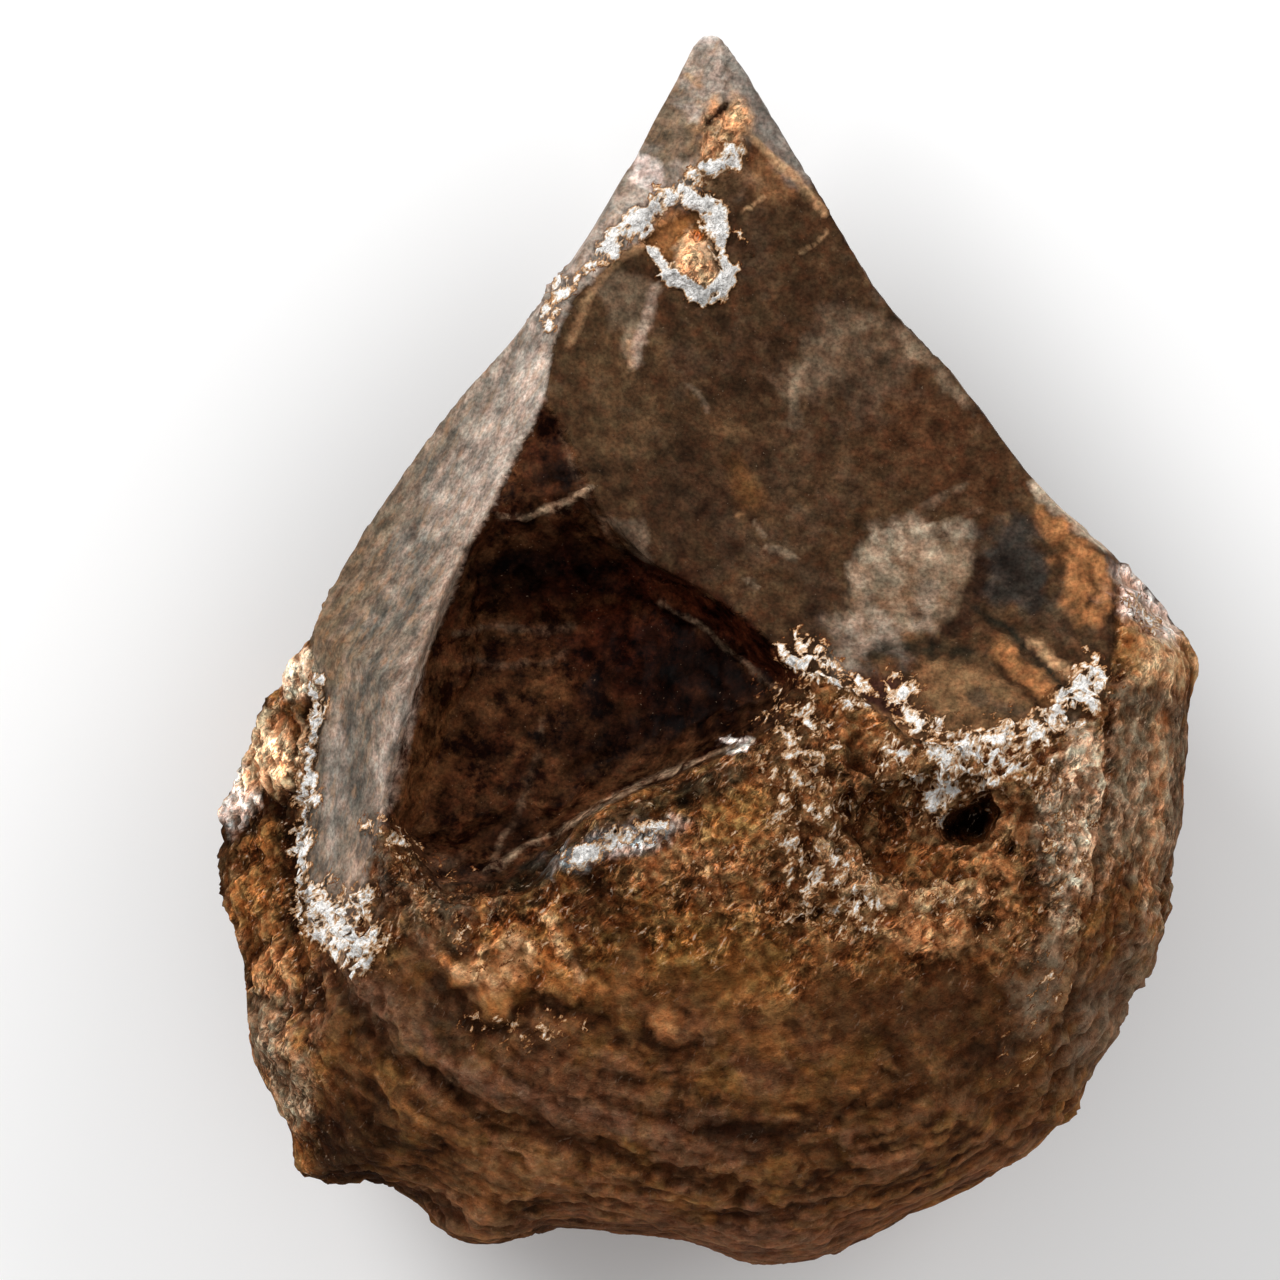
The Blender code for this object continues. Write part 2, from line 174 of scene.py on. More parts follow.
# ---- marks: each row ends with its relief, colour and strength. A strength of 0 only shapes the
# stone, and a relief of 0 only paints it. ----
# Patches: middle, half-sizes, turn in degrees, softness.
PATCHES = {
    "rind_light_zone": ((11.0, -9.6), (11.4, 7.4), 0, 0.5, 0.0, "light_rind", 0.45),
    "rind_lit_left": ((-1.8, -11.8), (2.8, 1.5), -14, 0.6, 0.0, "light_rind", 0.8),
    "rind_green_dark": ((-5.2, -15.4), (2.6, 1.8), 12, 0.6, -0.15, "rind_dark", 0.15),
    "rind_dark_left": ((-15.4, -15.0), (3.0, 2.4), -20, 0.6, -0.15, "haze", 0.6),
    "rind_dark_centre": ((-9.4, -13.9), (2.4, 1.3), -10, 0.7, -0.1, "green_black", 0.4),
    "rind_dark_fold": ((-17.4, -20.8), (3.6, 2.0), -32, 0.7, 0.0, "haze", 0.6),
    "rind_olive": ((1.0, -17.6), (4.4, 2.4), -10, 0.8, 0.0, "ochre", 0.35),
    "rind_dark_low": ((2.0, -27.4), (4.4, 0.8), -8, 0.7, -0.2, "umber", 0.7),
    "rind_dark_mid": ((12.8, -20.4), (5.0, 2.8), 0, 0.8, 0.0, "umber", 0.55),
    "rind_right_grey": ((19.2, -19.0), (1.2, 2.6), -20, 0.8, 0.15, "grey_chert", 0.55),
    "right_side": ((21.0, -9.4), (1.7, 4.8), -6, 0.5, 0.0, "pale_tan", 0.6),
    # right_flank is painted light: the steep right flank faces away from the key lamp, so it is painted
    # lighter
    "right_flank": ((25.3, -7.2), (2.2, 6.0), 2, 0.35, 0.0, "grey_chert", 0.8),
    # painted shade under the lump on the right shoulder, in a shallow real crease
    "flank_top_shade": ((25.4, -2.9), (2.2, 1.5), 0, 0.6, -0.2, "rind_dark", 0.6),
    "right_flank_low": ((23.4, -20.4), (1.8, 4.6), -28, 0.6, 0.0, "scar_light", 0.65),
    "point_body": ((0.2, 31.6), (3.6, 4.2), 0, 0.5, 0.0, "light_patina", 0.65),
    "point_left": ((-2.2, 30.0), (1.6, 3.8), 30, 0.4, 0.0, "olive_flint", 0.8),
    "point_dark": ((-0.4, 33.4), (0.9, 1.1), 0, 0.8, 0.0, "olive_flint", 0.5),
    "point_glaze": ((0.1, 35.2), (0.9, 0.45), 0, 0.5, 0.0, "white_crust", 0.7),
    "crest": ((1.0, 29.2), (1.5, 2.9), -8, 0.4, 0.22, "tan", 0.85),
    "pink_chip": ((-3.5, 27.5), (0.75, 1.1), 30, 0.15, -0.12, "pink_white", 0.8),
    "crust_chip": ((1.1, 26.4), (1.0, 0.7), 20, 0.4, -0.12, "brown_flint", 0.9),
    "left_low_blue": ((-19.3, -9.2), (0.7, 4.0), 8, 0.8, 0.0, "blue_grey", 0.5),
    # lighter places low on the left face: patina and a painted sheen
    "left_low_light": ((-21.3, -8.0), (0.7, 3.6), 0, 0.8, 0.0, "light_patina", 0.45),
    "left_edge_low": ((-17.7, -5.2), (0.7, 3.6), -12, 0.7, 0.0, "light_patina", 0.9),
    "face_top_brown": ((3.4, 21.4), (3.6, 3.4), -40, 0.8, 0.0, "umber", 0.15),
    "face_top_dark": ((3.6, 27.2), (1.6, 1.2), -40, 0.7, 0.0, "light_rind", 0.6),
    "face_right": ((12.6, 12.0), (4.6, 2.4), -45, 0.8, 0.0, "rust", 0.3),
    "face_middle": ((4.6, 10.4), (2.2, 2.2), 0, 0.8, 0.0, "haze", 0.2),
    "face_low_left": ((-1.0, 8.4), (3.6, 3.4), -30, 0.8, 0.0, "umber", 0.6),
    "face_core": ((1.8, 16.2), (2.4, 1.8), 0, 0.8, 0.0, "umber", 0.5),
    "face_foot": ((6.2, 1.8), (1.1, 2.2), 0, 0.8, 0.0, "umber", 0.55),
    "face_left": ((-5.0, 14.4), (2.4, 4.6), 20, 0.8, 0.0, "olive_flint", 0.2),
    "face_orange": ((2.4, 9.2), (0.6, 1.4), 30, 0.8, 0.04, "sienna", 0.55),
    "face_tan": ((1.6, 12.5), (1.1, 0.45), -20, 0.7, 0.04, "scar_warm", 0.4),
    "cavity_floor": ((-1.8, 23.9), (1.55, 1.45), 0, 0.3, -0.45, "orange", 0.9),
    "cavity_glow": ((-2.3, 23.4), (0.7, 0.9), -20, 0.7, 0.0, "bright_orange", 0.6),
    "beige_lump": ((25.8, -0.4), (1.9, 2.2), 15, 0.5, 0.0, "tan", 0.6),
    "beige_upper": ((25.1, 2.7), (2.2, 1.4), -42, 0.5, -0.9, "pink_white", 0.9),
    # painted shade on the left side of the lump on the right shoulder
    "beige_shade_left": ((24.3, 0.2), (0.8, 1.6), 0, 0.6, -0.2, "sienna", 0.8),
    "beige_white": ((25.8, 1.6), (1.3, 0.7), -40, 0.7, 0.1, "white_crust", 0.4),
    "butt_pit": ((11.8, -10.6), (4.4, 3.2), 8, 0.5, -1.0, "rind_dark", 0.35),
    # painted shade on the pit's upper left wall
    "pit_shade_left": ((9.2, -9.0), (1.5, 2.6), -10, 0.5, -0.5, "rind_dark", 0.5),
    "pit_side_shade": ((7.8, -6.6), (1.6, 1.6), 0, 0.6, -0.3, "rind_dark", 0.6),
    "pit_floor": ((12.6, -12.2), (2.6, 1.0), 0, 0.7, 0.0, "sienna", 0.4),
    "pit_ledge": ((12.9, -16.2), (2.2, 1.1), 10, 0.5, 0.25, "light_rind", 0.8),
    # painted shade in a small hole
    "ledge_hole_shade": ((15.9, -15.3), (0.6, 0.7), 0, 0.5, -0.3, "rind_dark", 0.8),
    "side_dark": ((18.7, -11.4), (1.2, 2.8), 0, 0.6, -0.25, "rind_dark", 0.7),
    "orange_chip_one": ((-2.3, -21.2), (0.9, 0.7), -20, 0.5, 0.15, "bright_orange", 0.7),
    "orange_chip_two": ((3.6, -22.6), (1.3, 0.7), -10, 0.6, 0.1, "sienna", 0.6),
    "orange_chip_three": ((5.4, -25.6), (1.5, 0.7), 0, 0.6, 0.1, "sienna", 0.5),
    "yellow_spot": ((1.4, -9.7), (1.9, 1.5), 20, 0.5, 0.1, "ochre", 0.45),
    "blue_white_patch": ((-5.2, -11.2), (3.2, 0.75), 18, 0.6, 0.0, "blue_white", 0.6),
    "hollow_haze": ((-8.6, -3.0), (3.2, 3.0), 60, 0.8, 0.0, "rind", 0.35),
    # the hollow's top and its patches named shade are painted shade, in black over the flint's own dark
    # colour, under its upper wall, ridges and rim
    "hollow_top": ((-9.6, 5.4), (3.0, 2.6), 10, 0.7, 0.0, "black_flint", 0.6),
    "hollow_orange": ((-15.6, -6.2), (1.8, 3.6), -20, 0.7, 0.0, "rind", 0.5),
    "hollow_shade": ((-8.0, 4.2), (4.8, 1.7), -4, 0.5, -0.15, "black_flint", 0.95),
    "hollow_red": ((-3.0, -0.6), (5.4, 3.6), -30, 0.6, 0.0, "deep_red", 1.0),
    "hollow_right_shade": ((0.6, -2.0), (4.6, 3.2), -36, 0.6, 0.0, "black_flint", 1.0),
    "hollow_peak_shade": ((-8.4, 9.6), (1.8, 1.1), 15, 0.7, 0.0, "black_flint", 0.85),
    "hollow_floor_shade": ((-5.2, -5.0), (5.2, 2.6), -6, 0.8, 0.0, "black_flint", 0.75),
    "hollow_low_shade": ((-11.4, -10.9), (2.2, 1.5), 30, 0.8, 0.0, "black_flint", 0.9),
    "plate_end": ((-5.2, -19.2), (2.4, 1.0), 0, 0.8, 0.0, "sienna", 0.5),
    "corner_shade": ((-20.6, -28.6), (3.0, 2.6), 0, 0.8, 0.0, "rind_dark", 0.85),
    "knob": ((-27.0, -8.6), (1.0, 1.6), -10, 0.5, 0.3, "pink_white", 0.85),
    "flank_top": ((-23.4, -1.6), (1.2, 1.3), 0, 0.5, 0.2, "pale_tan", 0.9),
    "flank_bright": ((-24.9, -6.2), (1.9, 2.1), -12, 0.4, 0.3, "peach", 0.9),
    "flank_hole_up": ((-24.5, -4.3), (0.6, 0.6), 0, 0.4, -0.5, "rust", 0.3),
    # painted shade in a hole of the left flank
    "flank_hole_shade": ((-24.2, -9.6), (0.9, 1.7), 8, 0.4, -0.9, "rind_dark", 0.97),
    "flank_brown": ((-25.6, -14.4), (1.6, 3.4), 4, 0.6, 0.0, "sienna", 0.5),
    "flank_chip_two": ((-24.7, -18.6), (1.0, 1.2), 0, 0.5, 0.2, "light_rind", 0.8),
    "flank_low_tan": ((-24.9, -22.0), (1.2, 1.8), 6, 0.8, 0.1, "grey_chert", 0.6),
    "flank_grey": ((-23.5, -25.4), (1.2, 1.8), 0, 0.7, 0.1, "grey_chert", 0.7),
    "butt_glow": ((-12.6, -30.2), (3.6, 1.2), 10, 0.8, 0.0, "light_rind", 0.25),
    "butt_lump": ((3.4, -34.0), (4.6, 1.8), 0, 0.5, 0.3, "rind_purple", 0.6),
    "butt_shade": ((-8.0, -33.4), (6.0, 0.6), 0, 0.7, -0.2, "rind_dark", 0.5),
    "side_bulge": ((27.4, -9.0), (1.8, 8.0), 3, 0.6, 0.5, "rind", 0.0),
    "low_side_bulge": ((25.8, -16.8), (1.8, 2.4), -20, 0.6, 0.5, "rind", 0.0),
    "foot_bulge_right": ((21.6, -23.4), (1.6, 2.8), -35, 0.7, 0.9, "rind", 0.0),
    "foot_bulge_low": ((18.8, -27.6), (1.4, 2.2), -40, 0.7, 0.6, "rind", 0.0),
    "foot_bulge_left": ((-22.9, -30.4), (1.4, 1.4), 0, 0.7, 0.3, "rind", 0.0),
    "foot_bulge_middle": ((-13.2, -33.6), (2.8, 1.4), 6, 0.7, 0.8, "rind", 0.0),
    "left_bulge": ((-27.6, -12.8), (1.2, 2.6), 0, 0.7, 0.5, "rind", 0.0),
}

PALE_SCAR = [(7.3, -0.9), (7.5, 1.6), (8.3, 4.2), (9.7, 5.9), (11.5, 6.8), (14.6, 6.6), (15.5, 5.3),
             (14.5, 2.7), (13.5, 1.2), (12.0, 0.4), (9.6, 0.2)]
# Areas: corners, width of their edge.
AREAS = {
    "face_scar": ([(6.6, 17.8), (8.1, 19.0), (10.4, 19.2), (12.4, 17.6), (11.4, 14.6), (9.0, 13.6),
        (6.4, 13.8), (5.4, 13.8), (5.2, 15.6)], 1.4, -0.12, "scar_light", 0.25),
    "scar_rim": ([(6.4, 18.2), (8.1, 19.2), (10.4, 19.5), (10.6, 18.6), (8.6, 17.8), (7.4, 16.4),
        (6.4, 15.0), (5.0, 13.4), (4.4, 14.1), (4.9, 15.9)], 0.9, 0.0, "grey_chert", 0.3),
    "pale_scar": (PALE_SCAR, 0.6, -0.25, "grey_chert", 0.66),
    "scar_warm_top": ([(8.6, 4.2), (9.7, 5.9), (11.5, 6.8), (14.6, 6.6), (13.4, 5.2), (11.0, 4.2)], 0.8,
        0.0, "pale_tan", 0.4),
    "scar_grey": ([(7.4, -0.6), (7.8, 1.8), (9.6, 2.2), (11.4, 0.9), (11.0, -0.4)], 0.9, 0.0,
        "light_patina", 0.3),
    "flake_triangle": ([(-6.2, 20.6), (-5.4, 21.6), (-3.2, 21.2), (-2.8, 20.3), (-4.05, 16.1),
        (-5.2, 18.6)], 0.35, -0.12, "grey_chert", 0.4),
    "cavity_fill": ([(-1.8, 23.2), (-0.9, 24.1), (0.3, 23.4), (0.9, 21.6), (0.6, 20.4), (-0.3, 20.1),
        (-1.7, 21.5)], 0.25, 0.5, "peach", 0.97),
    "olive_area": ([(12.5, -1.0), (14.7, -0.4), (17.0, -1.9), (18.7, -3.3), (17.0, -4.5), (14.1, -5.0),
        (12.7, -3.9)], 0.5, 0.08, "scar_warm", 0.8),
    "blue_dark": ([(15.6, 5.6), (16.4, 7.0), (18.7, 7.4), (19.6, 5.9), (19.9, 3.3), (18.7, 1.9),
        (17.0, 2.0), (15.6, 3.0)], 0.8, -0.12, "slate", 0.75),
    "blue_black": ([(16.0, 4.8), (17.8, 5.4), (18.2, 4.0), (17.0, 3.2)], 0.6, -0.1, "black_flint", 0.45),
    "orange_band": ([(19.2, 7.8), (21.3, 6.6), (23.0, 4.8), (23.3, 3.0), (22.2, 1.9), (21.3, 1.1),
        (20.8, 3.3), (19.9, 5.6)], 0.6, 0.12, "bright_orange", 0.85),
    "purple_spot": ([(8.4, -1.8), (10.5, -1.9), (11.7, -3.1), (11.2, -4.3), (9.4, -3.7)], 0.4, -0.2,
        "purple", 0.85),
    "edge_facet": ([(-6.0, 7.4), (-3.7, 7.3), (-3.1, 5.4), (-3.0, 4.4), (-4.5, 6.1)], 0.2, -0.1,
        "scar_light", 0.7),
    "rim_facet": ([(11.4, 17.9), (13.0, 16.9), (14.6, 15.2), (15.8, 12.8), (15.2, 13.0), (13.9, 14.9),
        (12.4, 16.4)], 0.3, -0.06, "grey_chert", 0.6),
    "orange_plate": ([(-14.8, -17.8), (-13.3, -17.4), (-13.2, -14.8), (-12.6, -14.4), (-12.0, -15.4),
        (-10.1, -15.7), (-9.6, -14.5), (-8.8, -14.8), (-7.8, -16.8), (-6.7, -18.4), (-5.8, -19.2),
        (-6.6, -20.0), (-8.2, -19.7), (-9.7, -18.9), (-10.3, -20.0), (-11.0, -21.0), (-12.1, -21.1),
        (-12.9, -20.5), (-13.3, -19.3), (-14.4, -18.9)], 0.6, 0.35, "orange", 0.75),
    # painted shade in the pit's hole
    "pit_hole_shade": ([(15.9, -8.4), (16.5, -9.6), (15.8, -10.8), (13.7, -10.6), (13.3, -10.0), (14.6, -9.4)],
        0.25, -0.7, "black_flint", 0.97),
}

# Strokes: line, half-width, how broken it is.
STROKES = {
    "point_crack": ([(1.5, 31.5), (1.0, 31.0), (0.4, 30.3)], 0.22, 0.0, -0.2, "umber", 1.0),
    "point_seam": ([(1.1, 34.6), (1.2, 33.0), (1.2, 31.6)], 0.12, 0.4, -0.05, "umber", 0.5),
    "point_mark": ([(-1.7, 31.3), (-0.8, 31.3)], 0.12, 0.1, 0.05, "light_patina", 0.8),
    "right_strip": ([(1.9, 33.8), (3.4, 31.2), (4.6, 29.0), (5.6, 27.2)], 0.8, 0.1, -0.05, "lilac_grey",
        0.9),
    "point_square": ([(-0.2, 33.7), (1.0, 33.7), (1.1, 32.8)], 0.1, 0.3, 0.05, "light_patina", 0.7),
    "point_chips": ([(-1.0, 32.9), (-0.2, 32.5)], 0.18, 0.5, 0.05, "tan", 0.7),
    "crest_line": ([(1.9, 30.2), (3.6, 28.6), (5.2, 27.2), (7.0, 25.0)], 0.22, 0.4, 0.15, "tan", 0.85),
    "crest_shade": ([(2.2, 28.4), (3.6, 27.4), (5.0, 26.2)], 0.5, 0.5, -0.1, "rust", 0.4),
    "chip_line": ([(2.3, 25.1), (3.5, 26.0)], 0.09, 0.1, 0.08, "tan", 0.6),
    "vein_orange": ([(-3.6, 23.0), (-4.8, 22.4), (-6.2, 20.9), (-7.0, 19.2), (-7.6, 17.4)], 0.24, 0.5,
        0.12, "tan", 0.6),
    "triangle_side": ([(-2.9, 20.6), (-3.2, 19.0), (-3.9, 16.4)], 0.26, 0.2, 0.06, "pink_patina", 0.9),
    "triangle_streak": ([(-3.9, 21.2), (-4.2, 19.2), (-4.3, 17.6)], 0.25, 0.5, 0.03, "grey_chert", 0.5),
    "triangle_tip": ([(-4.2, 17.4), (-4.1, 16.0)], 0.15, 0.1, 0.05, "tan", 0.25),
    "face_line": ([(5.5, 22.7), (7.1, 24.0)], 0.09, 0.1, 0.05, "tan", 0.5),
    "scar_edge": ([(4.9, 13.5), (5.2, 15.2), (6.0, 16.3)], 0.22, 0.3, 0.1, "grey_chert", 0.7),
    "scar_shade": ([(5.6, 17.4), (6.4, 19.2), (8.4, 20.3), (10.0, 20.4)], 0.5, 0.3, 0.0, "umber", 0.5),
    "scar_inner": ([(6.0, 14.6), (7.6, 12.4)], 0.14, 0.3, -0.05, "umber", 0.4),
    "face_crack": ([(2.1, 19.4), (3.4, 17.4), (5.1, 15.4)], 0.1, 0.2, -0.08, "umber", 0.7),
    "face_crack_side": ([(3.4, 20.6), (4.6, 18.2), (5.3, 16.6)], 0.08, 0.4, -0.05, "umber", 0.5),
    "face_scratch": ([(-1.0, 15.0), (-0.4, 14.4), (0.1, 13.6)], 0.12, 0.2, 0.04, "scar_light", 0.8),
    "ripple_one": ([(2.1, 7.4), (2.7, 6.9), (3.3, 6.3)], 0.2, 0.7, 0.08, "scar_warm", 0.7),
    "ripple_two": ([(2.9, 7.2), (3.5, 6.5)], 0.12, 0.5, 0.06, "grey_chert", 0.6),
    "ripple_three": ([(3.6, 5.8), (4.4, 5.4), (5.2, 5.0)], 0.18, 0.6, 0.06, "grey_chert", 0.6),
    "ripple_four": ([(2.3, 3.8), (2.9, 3.5)], 0.12, 0.2, 0.05, "grey_chert", 0.7),
    "facet_line": ([(-6.2, 7.8), (-4.4, 7.7), (-3.0, 7.5)], 0.1, 0.2, -0.06, "umber", 0.6),
    "scar_streak_one": ([(11.4, 7.2), (12.7, 8.0), (14.9, 9.5)], 0.25, 0.8, 0.1, "grey_chert", 0.3),
    "scar_streak_two": ([(12.9, 6.9), (15.6, 7.9)], 0.2, 0.8, 0.1, "grey_chert", 0.2),
    "ripple_dark": ([(2.6, 7.6), (3.0, 6.4), (4.0, 5.2)], 0.2, 0.4, -0.05, "umber", 0.5),
    "face_shade": ([(-8.4, 12.4), (-7.0, 9.0), (-5.4, 6.2), (-3.0, 3.8)], 0.16, 0.4, 0.05, "haze", 0.5),
    # the ledge, the hollow's step, the line under its wedge and its lower rim are painted highlights
    # where these edges face the light, each on a small real rise
    "ledge": ([(-12.0, 7.6), (-10.0, 7.6), (-8.2, 8.3), (-6.6, 9.1)], 0.16, 0.2, 0.18, "grey_chert",
        0.8),
    "lit_hollow_step": ([(-14.2, 0.8), (-12.0, 1.1), (-9.6, 0.9), (-7.6, 1.4)], 0.2, 0.5, 0.2, "haze", 0.9),
    "hollow_fibre": ([(-13.6, -0.6), (-11.2, -1.2), (-9.4, -1.0), (-8.0, -0.2)], 0.16, 0.7, 0.1, "haze",
        0.6),
    "hollow_vein": ([(-9.2, -4.0), (-9.8, -7.0), (-11.0, -10.2), (-12.4, -12.4)], 0.14, 0.5, 0.1, "haze",
        0.7),
    # painted shade on the hollow's wedge, which faces away from the light, over its red-brown flint
    "hollow_wedge_shade": ([(-4.2, 4.4), (-1.2, 3.2), (1.4, 1.4), (3.4, -0.3), (4.9, -1.6)], 0.8, 0.0, -0.1,
        "deep_red", 0.9),
    "lit_wedge_line": ([(-2.6, 2.6), (-0.4, 1.2), (2.0, -0.6), (4.2, -2.4)], 0.12, 0.4, 0.12, "grey_chert",
        0.25),
    "lit_hollow_rim": ([(-12.7, -12.7), (-8.0, -10.2), (-4.3, -8.0), (0.2, -6.2), (2.7, -5.2)], 0.14, 0.3,
        0.15, "grey_chert", 0.7),
    "rim_shade": ([(-10.4, -13.2), (-6.8, -10.8), (-2.4, -8.9), (1.8, -7.2)], 0.7, 0.2, -0.2,
        "green_black", 0.7),
    "twig": ([(0.9, -5.3), (1.8, -5.3), (2.8, -5.2)], 0.1, 0.0, 0.2, "white_crust", 0.95),
    "twig_fork": ([(1.4, -5.9), (2.0, -5.6), (2.8, -5.2)], 0.08, 0.2, 0.15, "white_crust", 0.7),
    "pale_scar_fringe": ([(9.4, 6.0), (11.4, 7.0), (14.4, 6.8)], 0.3, 0.8, 0.12, "pale_tan", 0.5),
    "pale_scar_light": ([(12.6, 3.6), (12.4, 1.2)], 0.5, 0.6, 0.0, "light_patina", 0.15),
    "scar_right_shade": ([(16.0, 4.8), (15.0, 2.5), (13.9, 0.9)], 0.5, 0.1, -0.2, "umber", 0.9),
    "scar_foot_shade": ([(9.4, -0.2), (11.7, 0.0), (15.0, -0.4)], 0.45, 0.4, -0.15, "green_black", 0.85),
    "blue_crack": ([(15.2, 2.4), (17.6, 0.6), (19.4, -1.4), (20.4, -2.4)], 0.2, 0.3, -0.2, "green_black",
        0.9),
    "orange_streak_one": ([(16.8, -0.2), (18.4, -1.6), (19.8, -3.1)], 0.5, 0.4, 0.0, "bright_orange",
        0.85),
    "orange_streak_two": ([(18.6, 0.2), (19.8, -0.8), (21.0, -1.9)], 0.3, 0.4, 0.0, "tan", 0.8),
    "streak_shade": ([(16.6, -1.0), (18.0, -2.2), (19.2, -3.4)], 0.25, 0.3, -0.1, "rind_dark", 0.8),
    "olive_shade": ([(15.4, -2.8), (16.6, -3.4), (18.2, -3.8)], 0.4, 0.3, -0.2, "slate", 0.5),
    "band_shade_one": ([(20.4, 6.0), (21.2, 5.0)], 0.35, 0.3, -0.1, "rind_dark", 0.7),
    "band_shade_two": ([(22.0, 4.6), (22.4, 3.2), (21.9, 2.4)], 0.25, 0.3, -0.1, "rind_dark", 0.7),
    "right_facet": ([(19.4, 9.2), (21.2, 7.4), (22.9, 6.0)], 0.45, 0.2, 0.0, "pale_tan", 0.7),
    # painted shade in the crease between the dome and the right flank, along a real crease
    "flank_crease": ([(23.4, 3.6), (23.3, -2.0), (22.9, -6.5), (22.7, -11.0), (21.6, -15.0)], 0.28, 0.5,
        -0.3, "umber", 0.7),
    "crease_light": ([(22.5, -5.0), (22.3, -10.0), (21.4, -15.0), (20.0, -21.0)], 0.3, 0.5, 0.15,
        "light_rind", 0.5),
    # painted shade further down the same crease
    "flank_crease_low_shade": ([(21.4, -15.4), (20.8, -19.6), (19.4, -24.4)], 0.3, 0.5, -0.2, "rind_dark",
        0.5),
    "flank_band_two": ([(25.8, -4.0), (25.9, -9.0), (25.2, -14.0)], 0.5, 0.6, 0.0, "bright_orange",
        0.45),
    "flank_band_three": ([(27.2, -4.0), (27.1, -9.0), (26.4, -14.0)], 0.5, 0.5, 0.0, "umber", 0.6),
    # painted shade in the groove that parts the left flank from the left face
    "flank_groove_shade": ([(-22.6, -3.4), (-23.2, -6.4), (-23.6, -9.4), (-24.0, -13.0), (-23.4, -17.0),
        (-22.2, -20.0)], 0.45, 0.3, -0.5, "rind_dark", 0.8),
    # painted shade in the fold above the lower end of the rind
    "butt_fold_shade": ([(-21.4, -18.6), (-18.0, -23.0), (-12.0, -26.8), (-5.0, -29.0), (2.0, -31.0)], 0.6, 0.4,
        -0.45, "umber", 0.6),
    "fold_light": ([(-20.0, -18.6), (-16.4, -22.4), (-10.6, -25.4), (-2.0, -27.6)], 0.6, 0.6, 0.2,
        "rind_purple", 0.7),
    "plate_crest": ([(-14.0, -18.3), (-12.5, -17.2), (-11.2, -16.5), (-10.0, -17.0)], 0.35, 0.5, 0.2,
        "tan", 0.6),
    "plate_light": ([(-12.6, -18.8), (-11.2, -17.8), (-10.6, -17.2)], 1.1, 0.5, 0.1, "tan", 0.55),
    "plate_arm": ([(-9.0, -15.2), (-8.2, -17.0), (-7.0, -18.6)], 0.3, 0.5, 0.15, "tan", 0.5),
    "plate_shade": ([(-14.2, -19.9), (-12.9, -21.6), (-10.8, -21.6), (-9.7, -19.8), (-8.0, -20.5),
        (-5.6, -21.2)], 0.5, 0.3, -0.35, "umber", 0.8),
    "rim_dark_slit": ([(5.4, -15.4), (6.6, -14.9), (7.9, -15.2)], 0.25, 0.2, -0.3, "umber", 0.25),
    "butt_notch": ([(-23.6, -30.8), (-20.0, -30.2), (-17.0, -31.2), (-14.0, -32.4)], 0.5, 0.2, -0.5,
        "rind_dark", 0.6),
    # painted highlight on the pit's lower rim, which faces the light, over a real rise
    "lit_pit_rim": ([(6.8, -11.4), (8.5, -13.3), (11.7, -14.3), (15.1, -13.9)], 0.65, 0.4, 0.3, "tan", 0.6),
}

